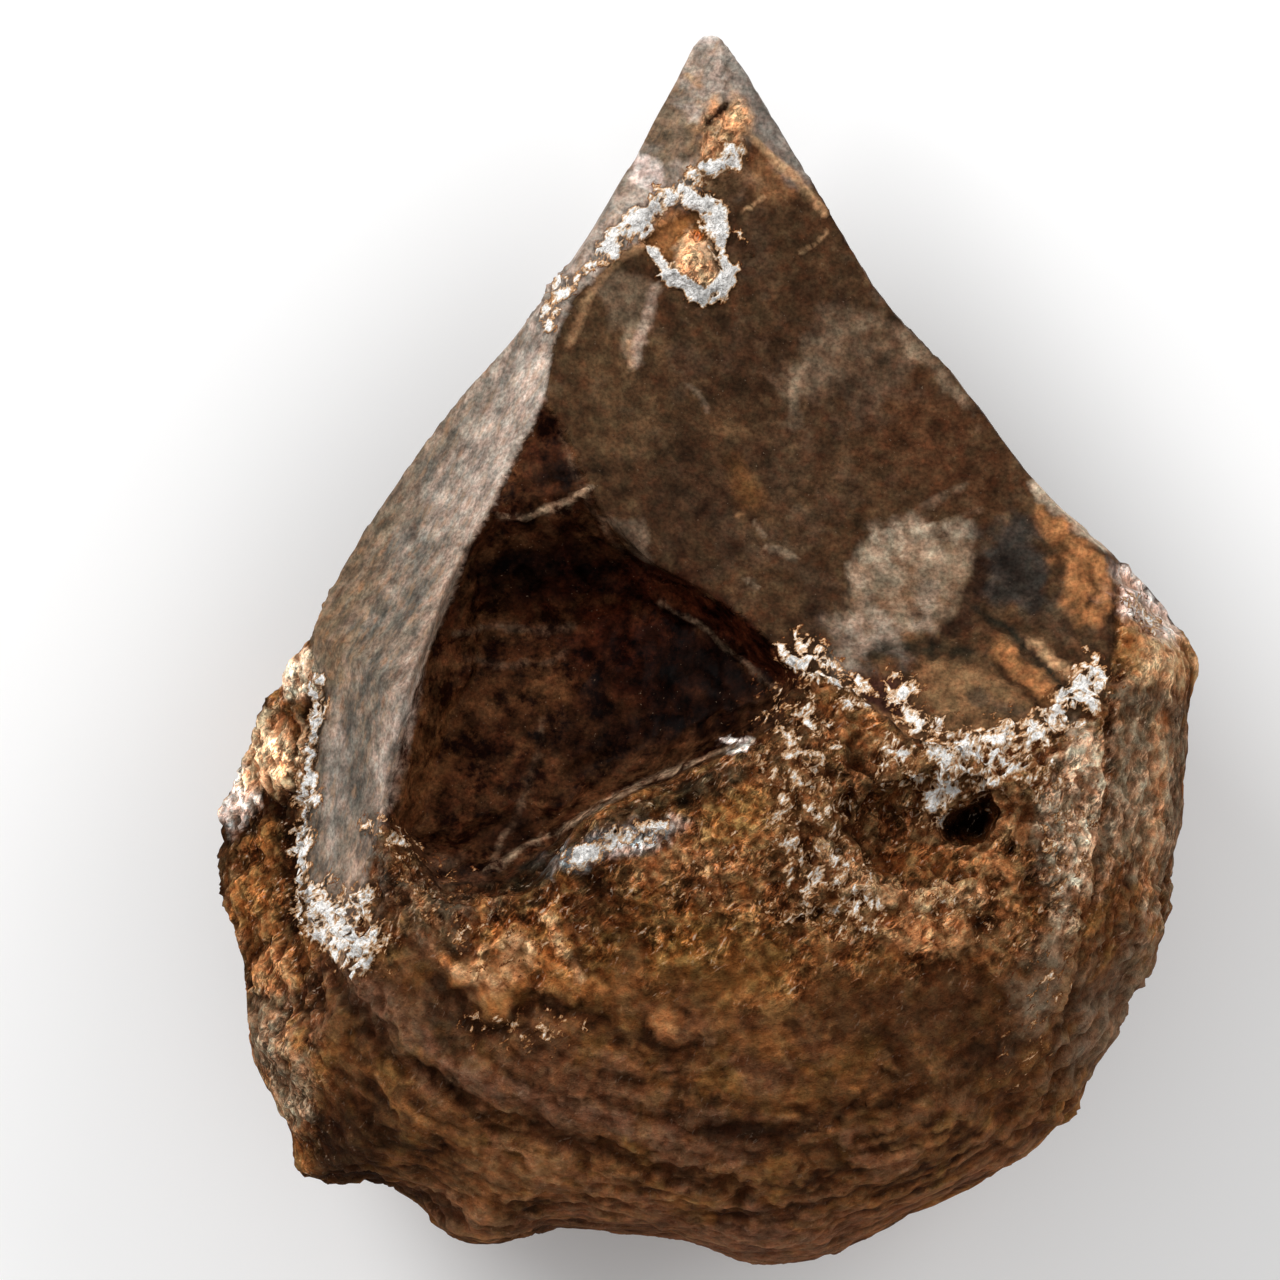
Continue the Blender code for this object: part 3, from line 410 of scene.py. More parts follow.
# ---- bands of white crystalline crust: line, half-width, amount ----
CRUSTS = [
    ([(5.2, -0.1), (6.4, -1.0), (7.6, -2.0), (8.8, -2.6)], 1.0, 1.35),
    ([(11.0, -2.8), (12.0, -4.2), (13.3, -5.6)], 1.1, 1.25),
    ([(13.4, -5.9), (16.6, -5.6), (19.0, -4.8), (21.2, -3.2)], 1.3, 1.35),
    ([(20.2, -3.6), (21.8, -2.4), (22.3, -1.4)], 1.0, 1.7),
    ([(11.4, -6.4), (14.2, -6.8), (17.2, -6.6)], 1.9, 1.05),
    ([(12.0, -7.2), (14.2, -7.4), (12.9, -8.8)], 1.4, 1.3),
    ([(5.2, -4.0), (5.6, -7.0), (5.6, -9.6), (5.8, -13.6)], 2.2, 0.94),
    ([(6.6, -9.0), (7.2, -12.0), (8.4, -14.8)], 2.0, 0.9),
    ([(3.4, -15.4), (5.6, -15.0)], 0.9, 0.75),
    ([(18.6, -7.0), (20.6, -9.0), (20.6, -13.6)], 1.6, 0.68),
    ([(10.0, -14.8), (15.6, -14.6)], 1.6, 0.6),
    ([(2.0, -12.0), (-1.0, -13.4)], 2.0, 0.5),
    ([(-22.2, -1.8), (-22.3, -4.2), (-22.7, -6.4)], 0.42, 1.6),
    ([(-22.8, -7.4), (-23.1, -10.8), (-23.0, -13.6), (-22.2, -15.8)], 0.6, 1.5),
    ([(-22.0, -15.2), (-20.8, -16.6), (-19.6, -17.0)], 1.6, 1.6),
    ([(-19.9, -14.2), (-20.2, -16.2)], 1.1, 1.4),
    ([(-18.8, -10.4), (-17.2, -11.4)], 0.9, 0.95),
    ([(-18.0, -13.6), (-14.4, -14.4)], 2.0, 0.5),
    ([(-7.4, -11.9), (-5.2, -11.0)], 0.7, 1.7),
    ([(-5.0, -10.9), (-2.6, -10.1)], 0.5, 1.6),
    ([(0.2, 27.3), (1.0, 27.8), (1.8, 28.2)], 0.65, 1.6),
    ([(-3.2, 24.6), (-4.8, 23.7), (-5.6, 22.9)], 0.7, 1.9),
    ([(-5.4, 22.9), (-6.8, 22.0), (-7.8, 20.8)], 0.35, 1.3),
    ([(-7.9, 21.0), (-8.7, 20.0), (-9.2, 18.6)], 0.6, 1.5),
    ([(-3.2, 24.9), (-2.4, 25.9), (-1.2, 26.2), (-0.1, 25.6), (0.7, 24.6), (0.8, 23.6)], 0.58, 2.4),
    ([(0.9, 23.6), (1.1, 22.4), (1.5, 21.6)], 0.35, 2.3),
    ([(-3.0, 22.7), (-2.2, 21.6), (-1.0, 20.6), (0.0, 20.1), (1.1, 20.6), (1.6, 21.6)], 0.45, 2.4),
    ([(-0.6, 26.8), (-0.3, 26.0)], 0.5, 1.3),
    ([(2.1, 23.9), (2.5, 22.7)], 0.25, 1.3),
    ([(18.4, -16.6), (19.4, -19.6), (17.4, -24.0)], 1.4, 0.5),
    ([(-13.0, -21.2), (-10.4, -21.8), (-8.0, -21.8)], 1.2, 0.6),
    ([(-14.0, -15.4), (-12.6, -16.8), (-9.0, -16.0)], 1.8, 0.45),
    ([(24.6, 2.6), (25.8, 1.2)], 0.6, 1.0),
]
CRUST_SOFTNESS = 0.9

# ---- rough places: middle, half-sizes, turn in degrees, softness ----
PIT = ((12.8, -10.2), (5.0, 4.2), 10, 0.4)
SEDIMENT = [            # tan sediment on the crest and in the cavity, each with its amount in front
    (0.75, (1.0, 29.2), (1.4, 2.8), -8, 0.5),
    (1.0, (-0.3, 22.0), (1.1, 1.9), 24, 0.25),
]

# ---- the view ----
RIM = 15.0                 # height of the stone's rim
VIEW_WIDTH = 73.69         # width of the view at the rim
VIEW_MIDDLE = (-3.71, 0.43)    # the plan place in the middle of the picture


def linear(colour):
    """Linear red, green and blue of an sRGB colour from 0 to 255."""
    share = np.array(colour, float) / 255
    return np.where(share <= 0.04045, share / 12.92, ((share + 0.055) / 1.055) ** 2.4)


COLOURS = {name: linear(colour) / STRENGTH_OF_LIGHT for name, colour in PALETTE.items()}


def fuzz(points, size, octaves, shift):
    """Smooth noise at each point, about -1 to 1, whose lumps are about so many millimetres wide."""
    places = (points / size + shift).tolist()
    return np.array([noise.fractal(place, 1.0, 2.0, octaves) for place in places])


def ridged(points, size, octaves, shift):
    """Noise with sharp crests, about -1 to 1, for crumbly stone."""
    places = (points / size + shift).tolist()
    crests = [noise.ridged_multi_fractal(place, 1.0, 2.0, octaves, 1.0, 2.0) for place in places]
    return np.array(crests) - 1.0


def combed(places, size, stretch, shift):
    """Noise drawn out into fibres along the first of three axes."""
    return fuzz(places / (stretch, 1.0, 1.0), size, 3, shift)


def along_and_across(plan, angle):
    """How far each plan place lies along a direction in degrees, and across it."""
    turn = math.radians(angle)
    along = plan[:, 0] * math.cos(turn) + plan[:, 1] * math.sin(turn)
    across = plan[:, 1] * math.cos(turn) - plan[:, 0] * math.sin(turn)
    return along, across


def streaks(points, angle, size, stretch, shift):
    """Noise drawn out into streaks along a plan direction in degrees."""
    return combed(np.column_stack([*along_and_across(points, angle), points[:, 2]]), size, stretch, shift)


def smooth_step(value, low, high):
    """0 below low, 1 above high, and an even curve between."""
    share = np.clip((value - low) / (high - low), 0, 1)
    return share * share * (3 - 2 * share)


def line_distance(plan, line):
    """Distance from each plan place to a line through several points."""
    best = np.full(len(plan), np.inf)
    for start, end in zip(np.array(line[:-1]), np.array(line[1:])):
        way = end - start
        along = np.clip(((plan - start) @ way) / (way @ way), 0, 1)
        best = np.minimum(best, np.linalg.norm(plan - start - along[:, None] * way, axis=1))
    return best


def depth_inside(plan, corners):
    """Distance from each plan place to an area's border: above 0 inside the area, below 0 outside."""
    inside = np.zeros(len(plan), bool)
    x, y = plan.T
    closed = corners + corners[:1]
    for (x0, y0), (x1, y1) in zip(closed[:-1], closed[1:]):
        if y0 != y1:
            crosses = (y0 > y) != (y1 > y)
            inside ^= crosses & (x < (x1 - x0) * (y - y0) / (y1 - y0) + x0)
    return np.where(inside, 1, -1) * line_distance(plan, closed)


def plane_height(plan, first, second, third):
    """Height at each plan place of the plane through three points."""
    first, second, third = (np.array(corner) for corner in (first, second, third))
    normal = np.cross(second - first, third - first)
    return first[2] - ((plan - first[:2]) @ normal[:2]) / normal[2]


def scar_ball(first, second, third, depth):
    """Centre and radius of the ball whose surface is a scar through three corners."""
    first, second, third = (np.array(corner) for corner in (first, second, third))
    side = second - first
    other = third - first
    across = np.cross(side, other)
    offset = np.cross(across, side) * (other @ other) + np.cross(other, across) * (side @ side)
    middle = first + offset / (2 * across @ across)
    outward = across / np.linalg.norm(across)
    if outward @ (middle - np.array(CORE)) < 0:
        outward = -outward
    rim_radius = np.linalg.norm(first - middle)
    radius = (rim_radius ** 2 + depth ** 2) / (2 * depth)
    return middle + outward * (radius - depth), radius


def ball_gaps(points, scars):
    """Each point's distance to each scar's ball, above 0 outside it."""
    balls = [scar_ball(*scar) for scar in scars]
    return np.array([np.linalg.norm(points - centre, axis=1) - radius for centre, radius in balls])


class Surface:
    """What kind of stone each point of a mesh belongs to.

    left, face and hollow are how deep a point lies inside those plan areas, and front is how deep it
    lies inside all the flaked stone of the worked side. facing, rind, fibrous, left_flank and crumbs
    are shares from 0 to 1. wobble, ragged, drift and shake are noise that makes every border uneven.
    """

    def __init__(self, points, normals):
        self.points = points
        self.plan = points[:, :2]
        self.normals = normals
        self.facing = smooth_step(normals[:, 2], -0.2, 0.1)
        self.wobble = fuzz(points, 1.1, 3, 7.3)
        self.ragged = fuzz(points, 1.4, 4, 15.3)
        self.drift = np.column_stack([fuzz(points, 2.6, 2, 3.1), fuzz(points, 2.6, 2, 9.7)])
        self.shake = np.column_stack([fuzz(points, 0.7, 2, 13.1), fuzz(points, 0.7, 2, 19.7)])
        self.find_flint()
        self.lay_fibres()
        self.find_rough_rind()

    def find_flint(self):
        """Tells flaked stone from rind, on the worked side and behind the point."""
        warped = self.plan + 0.12 * self.drift + 0.06 * self.shake
        self.left = depth_inside(warped, LEFT_AREA)
        self.face = depth_inside(warped, FACE_AREA)
        self.hollow = depth_inside(warped, HOLLOW_AREA)
        upward = 4.0 * (self.normals[:, 2] + 0.12)
        self.front = np.minimum(np.maximum.reduce([self.left, self.face, self.hollow]), upward)
        gaps = np.abs(ball_gaps(self.points, BACK_SCARS)).min(axis=0)
        downward = 4.0 * (0.05 - self.normals[:, 2])
        back = np.minimum.reduce([1.6 - 4 * gaps, downward, self.points[:, 1] + 4.0])
        self.rind = 1 - smooth_step(np.maximum(self.front, back), -BORDER, BORDER)

    def lay_fibres(self):
        """Runs the rind's fibres round the stone, and sets its lumps and those of its left flank."""
        away = self.plan - np.array(FLOW_MIDDLE)
        turn = np.arctan2(away[:, 0], -away[:, 1])
        from_middle = np.hypot(away[:, 0], away[:, 1])
        self.flow = np.column_stack([turn * FLOW_RADIUS, from_middle, self.points[:, 2]])
        bent = np.column_stack([self.drift, self.wobble])
        self.swirled = self.points + bent * 0.9
        self.fibre = combed(self.flow + bent * 0.7, 1.0, 4.0, 31.0)
        self.lumps = fuzz(self.swirled, 3.6, 3, 1.0)
        bumps = fuzz(self.points + 0.6 * bent, 4.2, 3, 12.0)
        steps = 0.5 * smooth_step(bumps, -0.14, 0.0) + 0.5 * smooth_step(bumps, 0.14, 0.3)
        self.flank_lumps = steps + 0.3 * bumps

    def find_rough_rind(self):
        """Finds where the rind is fibrous and where it crumbles: most on top and on the left flank."""
        x, y = self.plan.T
        lower_left = smooth_step(-y - 0.5 * x, 16.0, 24.0)
        self.fibrous = self.rind * (0.15 + 0.85 * lower_left)
        self.left_flank = smooth_step(-x, 20.5, 23.5) * smooth_step(-y, -1.5, 1.0) * self.rind
        edge_x, edge_y = np.array(FLANK_EDGE).T
        edge = np.interp(-y, -edge_y, edge_x) + 0.5 * self.drift[:, 1]
        right_flank = smooth_step(x - edge, -0.5, 0.7) * self.rind
        upper = smooth_step(y + 3 * self.drift[:, 0], -20.0, -15.0)
        upper = upper * smooth_step(self.normals[:, 2], -0.1, 0.4)
        rough = np.maximum(upper * (1 - 0.5 * right_flank), 0.9 * self.left_flank)
        self.crumbs = self.rind * (0.12 + 0.88 * rough)

    def share(self, depth):
        """1 inside an area on the worked side, 0 outside it."""
        return smooth_step(np.minimum(depth, self.front), -BORDER, BORDER)


# ---- how much of each point a mark covers: 1 in its middle, 0 outside, with a ragged edge ----
def patch_share(surface, middle, half_sizes, turn, softness):
    """The share of an oval patch."""
    least = min(half_sizes)
    plan = surface.plan + surface.drift * min(0.35 * least, 0.9) + surface.shake * min(0.2 * least, 0.3)
    along, across = along_and_across(plan - np.array(middle), turn)
    reach = np.hypot(along / half_sizes[0], across / half_sizes[1]) + surface.ragged * 0.55
    return (1 - smooth_step(reach, 1 - softness, 1 + softness)) * surface.facing


def area_share(surface, corners, edge):
    """The share of an area whose edge has some width."""
    plan = surface.plan + surface.drift * 0.3 + surface.shake * 0.15
    depth = depth_inside(plan, corners) + surface.ragged * 1.6 * edge
    return smooth_step(depth, -edge, edge) * surface.facing


def stroke_share(surface, line, half_width, broken, softness=0.5):
    """The share of a stroke along a line. A broken stroke fades here and there."""
    plan = surface.plan + surface.drift * 0.25 + surface.shake * min(0.5 * half_width, 0.25)
    width = half_width * (1 + 0.5 * surface.wobble)
    soft = half_width * softness
    share = 1 - smooth_step(line_distance(plan, line) - width, -soft, soft)
    gaps = smooth_step(surface.wobble + 1.2 * surface.shake[:, 0], -0.5, 0.2)
    return share * (1 - broken * (1 - gaps)) * surface.facing


def marks(surface):
    """Every patch, area and stroke in turn: its share, relief, colour and strength."""
    for share_of, table in ((patch_share, PATCHES), (area_share, AREAS), (stroke_share, STROKES)):
        for *place, rise, tint, strength in table.values():
            yield share_of(surface, *place), rise, tint, strength


def crust_bands(surface, broken):
    """Every band of crust in turn: how much crust it puts at each point."""
    for line, half_width, amount in CRUSTS:
        yield amount * stroke_share(surface, line, half_width, broken, CRUST_SOFTNESS)


def sediment(surface):
    """How much of each point the crumbly tan sediment covers."""
    return np.maximum.reduce([amount * patch_share(surface, *place) for amount, *place in SEDIMENT])


# ---- the fine relief: each function adds to a height along every point's normal ----
def raise_rind(surface, height):
    """Adds the rind's lumps, and its folds, crumbs and fibres, which are calmer on steep sides."""
    points, rind, crumbs = surface.points, surface.rind, surface.crumbs
    steady = 0.35 + 0.65 * smooth_step(surface.normals[:, 2], 0.0, 0.5)
    rugged = smooth_step(fuzz(points, 7.0, 2, 51.0), -0.5, 0.4)
    height += rind * ((0.42 - 0.14 * surface.fibrous) * surface.lumps + 0.3 * fuzz(points, 9.0, 1, 53.0))
    folded = (0.08 + 0.06 * rugged) * (1 - 0.8 * surface.left_flank) + 0.12 * crumbs * rugged
    height += rind * folded * ridged(surface.swirled, 2.2, 3, 5.0) * steady
    crumbled = 0.02 + 0.03 * rugged + 0.12 * crumbs
    height += rind * crumbled * ridged(surface.swirled, 0.8, 3, 2.0) * steady
    height += surface.fibrous * 0.2 * surface.fibre * steady
    height += surface.left_flank * 0.38 * (surface.flank_lumps - 0.5) * steady
    height += crumbs * 0.16 * fuzz(surface.swirled, 0.55, 2, 57.0) * steady


def ripples(from_place, width):
    """Waves of some width, from -1 to 1, along the distance from a place."""
    return np.sin(from_place * 2 * math.pi / width)


def raise_flint(surface, height):
    """Adds the faint waves and ripples of the flaked stone, and the rough break of the hollow."""
    points, plan = surface.points, surface.plan
    flint = 1 - surface.rind
    height += flint * (0.07 * fuzz(points, 5.0, 2, 20.0) + 0.02 * fuzz(points, 0.9, 2, 22.0))
    from_strike = np.linalg.norm((plan - np.array(STRIKE)) * (1.0, 0.8), axis=1)
    from_strike += 1.2 * fuzz(points, 7.0, 2, 24.0)
    ripple_depth = 0.012 + 0.05 * smooth_step(fuzz(points, 5.0, 2, 25.0), 0.0, 0.5)
    height += surface.share(surface.face) * ripple_depth * ripples(from_strike, RIPPLE_WIDTH)
    from_sweep = np.linalg.norm(plan - np.array(SWEEP_MIDDLE), axis=1)
    from_sweep += 0.8 * fuzz(points, 5.0, 2, 26.0)
    height += surface.share(surface.left) * 0.02 * ripples(from_sweep, SWEEP_WIDTH)
    broken = 0.16 * fuzz(points, 2.2, 3, 28.0) + 0.12 * ridged(surface.swirled, 1.6, 3, 29.0)
    height += surface.share(surface.hollow) * broken


def raise_marks(surface, height):
    """Adds the relief of the marks, the crust, the sediment, the pale scar and the pit."""
    points = surface.points
    for share, rise, _, _ in marks(surface):
        height += rise * share
    grains = 0.10 + 0.32 * fuzz(points, 0.6, 2, 33.0)
    for crust in crust_bands(surface, 0.9):
        height += crust * grains
    height += sediment(surface) * (0.35 * fuzz(points, 0.5, 2, 35.0) + 0.15 * fuzz(points, 1.5, 1, 36.0))
    pale = area_share(surface, PALE_SCAR, 0.3)
    height += pale * (0.14 * fuzz(points, 1.0, 2, 37.0) + 0.10 * ridged(points, 0.9, 2, 38.0))
    pit = patch_share(surface, *PIT)
    height += pit * (0.5 * fuzz(points, 1.3, 3, 39.0) + 0.2 * ridged(points, 1.0, 3, 40.0))


# ---- the broad colours: layers are palette names with how much of each point they cover ----
def layered(colour, layers):
    """A colour under several layers."""
    for tint, share in layers:
        colour = colour + (COLOURS[tint] - colour) * share[:, None]
    return colour


def rind_layers(surface, broad, mid):
    """The rough rind: lighter on its crests, darker in its folds, purple toward its lower end."""
    rind, fibre = surface.rind, surface.fibre
    fine = fuzz(surface.swirled, 0.6, 3, 47.0)
    crest = 0.55 * surface.lumps + 0.55 * fibre * surface.fibrous + 0.4 * mid + 0.45 * fine + 0.2 * broad
    olive = smooth_step(fuzz(surface.swirled, 2.4, 2, 49.0), 0.1, 0.5)
    lower = smooth_step(-surface.plan[:, 1] - 0.35 * surface.plan[:, 0], 15.0, 26.0)
    purple = smooth_step(broad + 0.8 * fibre, -0.2, 0.5)
    return [
        ("rind", rind),
        ("sienna", rind * smooth_step(crest, 0.1, 0.75) * 0.75),
        ("rind_dark", rind * smooth_step(-crest, 0.05, 0.6) * 0.8),
        ("ochre", rind * olive * 0.3),
        ("rind_purple", rind * lower * purple * 0.5),
        ("umber", rind * lower * smooth_step(-fibre, 0.1, 0.5) * 0.6),
    ]


def flank_layers(surface):
    """The left flank: sienna lumps, tan ones toward the point, and painted shade between them."""
    raised = surface.left_flank * smooth_step(surface.flank_lumps, 0.7, 0.95)
    high = smooth_step(surface.plan[:, 1] + surface.drift[:, 0], -14.0, -8.0)
    sunk_shade = surface.left_flank * (1 - smooth_step(surface.flank_lumps, 0.1, 0.4))
    return [("sienna", raised * 0.8), ("tan", raised * high * 0.9), ("rind_dark", sunk_shade * 0.85)]


def left_layers(surface):
    """The long left face: grey patina and a painted sheen, with painted light along its ridge toward the
    point, and streaked with blue-grey, pink and orange.
    """
    points = surface.points
    left = surface.share(surface.left)
    from_ridge = line_distance(surface.plan, LEFT_RIDGE + HOLLOW_RIDGE[1:]) + 0.8 * surface.drift[:, 0]
    upper = smooth_step(surface.plan[:, 1], 0.0, 12.0)
    near = 1 - smooth_step(from_ridge, 1.0, 5.6)
    band = smooth_step(from_ridge, 1.0, 2.4) * (1 - smooth_step(from_ridge, 3.6, 5.4))
    cool = streaks(points, 66.0, 0.9, 3.5, 61.0)
    blue = smooth_step(cool + 0.5 * band - 0.35 * upper, 0.1, 0.6)
    warm = streaks(points, 62.0, 0.8, 4.0, 67.0)
    edge = 1 - smooth_step(from_ridge, 0.4, 1.5)
    thin = streaks(points, 64.0, 0.45, 3.5, 71.0)
    return [
        # the left face's grey and its light band by the ridge: patina and a painted sheen where the face
        # lies toward the key lamp
        ("grey_patina_and_sheen", left),
        ("light_patina", left * near * (0.1 + 0.85 * upper)),
        ("olive_flint", left * smooth_step(from_ridge, 3.4, 5.4) * (0.6 - 0.5 * upper)),
        ("blue_grey", left * blue * 0.55),
        ("pink_patina", left * smooth_step(warm, 0.1, 0.5) * 0.35),
        ("pink_patina", left * edge * (1 - upper) * 0.85),
        ("orange", left * smooth_step(thin, 0.3, 0.6) * 0.3),
        ("umber", left * smooth_step(-thin, 0.35, 0.7) * 0.4),
    ]


def paint(surface):
    """The stone's broad colours at each point, without the painted shade of its crevices."""
    points, rind = surface.points, surface.rind
    broad = fuzz(points, 5.0, 3, 41.0)
    mid = fuzz(surface.swirled, 1.7, 4, 43.0)
    soft = fuzz(surface.swirled, 0.8, 3, 45.0)
    hollow = surface.share(surface.hollow)
    colour = layered(np.tile(COLOURS["brown_flint"], (len(points), 1)), [
        ("haze", smooth_step(mid + 0.8 * broad, 0.1, 0.8) * 0.4),
        ("umber", smooth_step(-mid - 0.5 * broad, 0.0, 0.8) * 0.5),
        ("rust", smooth_step(soft, 0.1, 0.6) * 0.3),
        ("olive_flint", smooth_step(-soft, 0.1, 0.6) * 0.3),
        *rind_layers(surface, broad, mid),
        *flank_layers(surface),
        *left_layers(surface),
        ("hollow_flint", hollow),
        ("deep_red", hollow * smooth_step(-mid - 0.3 * broad, -0.1, 0.4) * 0.7),
        ("rust", hollow * smooth_step(mid, 0.1, 0.6) * 0.4),
    ])
    colour = layered(colour, ((tint, share * strength) for share, _, tint, strength in marks(surface)))
    scar = area_share(surface, PALE_SCAR, 0.6)
    colour = layered(colour, [("rind", scar * smooth_step(fuzz(points, 1.1, 3, 77.0), 0.05, 0.5) * 0.6)])
    # painted light: the end of the butt is lighter, except at its left corner, standing in for light that
    # the lamps leave short there
    butt = smooth_step(-points[:, 1], 24.0, 32.0) * smooth_step(points[:, 0], -20.0, -15.0)
    colour = colour * (1 + 0.35 * butt * rind)[:, None]
    mottle = 0.5 * fuzz(points, 1.2, 3, 73.0) + 0.4 * fuzz(points, 0.6, 2, 75.0)
    return colour * np.clip(1 + (1 - rind) * mottle, 0.5, 1.6)[:, None]


# ---- a mesh's points, normals and stored values, and the changes to its shape ----
def triples(items, field):
    """Three numbers of each item of a mesh."""
    values = np.empty(len(items) * 3, np.float32)
    items.foreach_get(field, values)
    return values.reshape(-1, 3).astype(float)


def points_of(mesh):
    """A mesh's points in millimetres."""
    return triples(mesh.vertices, "co") / MM


def normals_of(mesh):
    """A mesh's outward direction at each point."""
    return triples(mesh.vertex_normals, "vector")


def place_points(mesh, points):
    """Moves a mesh's points to new places in millimetres."""
    mesh.vertices.foreach_set("co", (points * MM).astype(np.float32).ravel())
    mesh.update()


def store(layer, field, values):
    """Fills a mesh's layer with the values of its points."""
    layer.data.foreach_set(field, values.astype(np.float32).ravel())


def weigh(piece, name, weights):
    """Makes a vertex group from weights between 0 and 1, set in tenths, and gives its name."""
    group = piece.vertex_groups.new(name=name)
    tenths = np.rint(weights * 10).astype(int)
    for tenth in range(1, 11):
        group.add(np.flatnonzero(tenths == tenth).tolist(), tenth / 10, "REPLACE")
    return group.name


def reshape(piece, kind, **settings):
    """Gives the piece the mesh that one modifier makes, and takes its vertex groups off."""
    modifier = piece.modifiers.new(kind, kind)
    for name, setting in settings.items():
        setattr(modifier, name, setting)
    bpy.context.view_layer.update()
    evaluated = piece.evaluated_get(bpy.context.evaluated_depsgraph_get())
    mesh = bpy.data.meshes.new_from_object(evaluated)
    piece.modifiers.clear()
    piece.vertex_groups.clear()
    old = piece.data
    piece.data = mesh
    bpy.data.meshes.remove(old)


def crevices(mesh, normals, rounds, depth):
    """1 where a point lies some depth below the mean of its surroundings, -1 where it stands as proud."""
    points = points_of(mesh)
    ends = np.empty(2 * len(mesh.edges), dtype=np.int64)
    mesh.edges.foreach_get("vertices", ends)
    first, second = ends.reshape(-1, 2).T
    count = np.bincount(first, minlength=len(points)) + np.bincount(second, minlength=len(points))
    calm = points.copy()
    for _ in range(rounds):
        for axis in range(3):
            total = np.bincount(first, calm[second, axis], len(points))
            total += np.bincount(second, calm[first, axis], len(points))
            calm[:, axis] = total / count
    return np.clip(np.einsum("ij,ij->i", calm - points, normals) / depth, -1, 1)


def snapped(points, scars):
    """Points moved onto the scars that they lie near, and which ones moved."""
    near = np.abs(ball_gaps(points, scars)) < SNAP
    for _ in range(5):
        for scar, mine in zip(scars, near):
            centre, radius = scar_ball(*scar)
            away = points[mine] - centre
            reach = np.linalg.norm(away, axis=1)[:, None]
            points[mine] = centre + away / reach * radius
    return points, near.any(axis=0)


# ---- the stone, step by step ----
def even_stone():
    """The part's own solid with small even faces: true flake scars, sharp ridges and a softened rind."""
    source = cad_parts[NODE]
    stone = bpy.data.objects.new("knapped_stone", source.data.copy())
    bpy.context.scene.collection.objects.link(stone)
    stone.data.materials.clear()
    reshape(stone, "REMESH", mode="VOXEL", voxel_size=FINE_FACE * MM)
    reshape(stone, "SMOOTH", factor=0.5, iterations=4)
    points, on_scar = snapped(points_of(stone.data), FRONT_SCARS + BACK_SCARS)
    place_points(stone.data, points)

    ridges = [LEFT_RIDGE, HOLLOW_RIDGE, LEFT_FOOT, FACE_RIDGE, FACE_FOOT, HOLLOW_FOOT]
    to_ridge = np.minimum.reduce([line_distance(points[:, :2], ridge) for ridge in ridges])
    held = on_scar | (points[:, 2] < FLAT_HEIGHT)
    free = np.where(held, 0.1, smooth_step(to_ridge, 0.3, 1.2))
    reshape(stone, "SMOOTH", factor=0.5, iterations=30, vertex_group=weigh(stone, "free", free))
    return stone


def break_hollow(stone):
    """Breaks the floor and walls of the deep hollow into flat facets, and gives the new points."""
    points = points_of(stone.data)
    surface = Surface(points, normals_of(stone.data))
    inside = smooth_step(surface.hollow, 0.1, 0.7) * (points[:, 1] < HOLLOW_TOP) * surface.facing
    plan = surface.plan + 0.5 * surface.drift
    highest = np.maximum.reduce([plane_height(plan, *facet) for facet in HOLLOW_FACETS])
    limit = points[:, 2] + WALL_RISE + FLOOR_RISE * smooth_step(surface.hollow, 2.0, 5.0)
    points[:, 2] += inside * (np.minimum(highest, limit) - points[:, 2])
    place_points(stone.data, points)
    return points


def raise_relief(stone, points, normals):
    """Raises the fine relief, less of it on the belly that the stone rests on."""
    surface = Surface(points, normals)
    height = np.zeros(len(points))
    raise_rind(surface, height)
    raise_flint(surface, height)
    raise_marks(surface, height)
    off_floor = smooth_step(points[:, 2], 0.0, 0.8)
    points = points + normals * (height * (0.15 + 0.85 * off_floor))[:, None]
    points[:, 2] = np.maximum(points[:, 2], CAD_LOW.z / MM)
    place_points(stone.data, points)


def simplify(stone, normals):
    """Brings the stone down to its number of triangles, and spares most the side that looks up."""
    keep = 0.5 * smooth_step(normals[:, 2], -0.6, -0.2)
    keep[::KEPT_POINTS] = 1.0
    triangles = 2 * len(stone.data.polygons)
    reshape(stone, "DECIMATE", ratio=FACE_LIMIT / triangles, use_collapse_triangulate=True,
            vertex_group=weigh(stone, "keep", keep), invert_vertex_group=True, vertex_group_factor=1.0)
    stone.data.shade_smooth()


def store_looks(mesh):
    """Stores the colour and the kind of stone at each point, for the material to read. The colour holds
    painted shade in the rind's crevices and painted light where it stands proud.
    """
    normals = normals_of(mesh)
    surface = Surface(points_of(mesh), normals)
    fine_dip = crevices(mesh, normals, *FINE_DIP)
    broad_dip = crevices(mesh, normals, *BROAD_DIP)
    # painted shade in the rind's crevices, and painted light where it stands proud
    crevice_shade = surface.rind * ((0.15 + 0.25 * surface.crumbs) * fine_dip + 0.3 * broad_dip)
    colour = paint(surface) * np.exp(crevice_shade[:, None] * CREVICE_SHADE_TINT)
    opaque = np.column_stack([colour, np.ones(len(colour))])
    store(mesh.color_attributes.new("broad_colour", "FLOAT_COLOR", "POINT"), "color", opaque)
    store(mesh.attributes.new("flow", "FLOAT_VECTOR", "POINT"), "vector", surface.flow * MM)
    loose = sediment(surface)
    shares = {
        "rind": np.maximum(surface.rind, loose),
        "crumbs": np.maximum(surface.crumbs, loose),
        "crust": np.maximum.reduce(list(crust_bands(surface, 0.4))),
        "left_face": surface.share(surface.left),
        "hollow": surface.share(surface.hollow),
    }
    for name, share in shares.items():
        store(mesh.attributes.new(name, "FLOAT", "POINT"), "value", share)


def fine_stone():
    """The stone with all its relief, from the part's own solid."""
    stone = even_stone()
    points = break_hollow(stone)
    normals = normals_of(stone.data)
    raise_relief(stone, points, normals)
    simplify(stone, normals)
    store_looks(stone.data)
    return stone


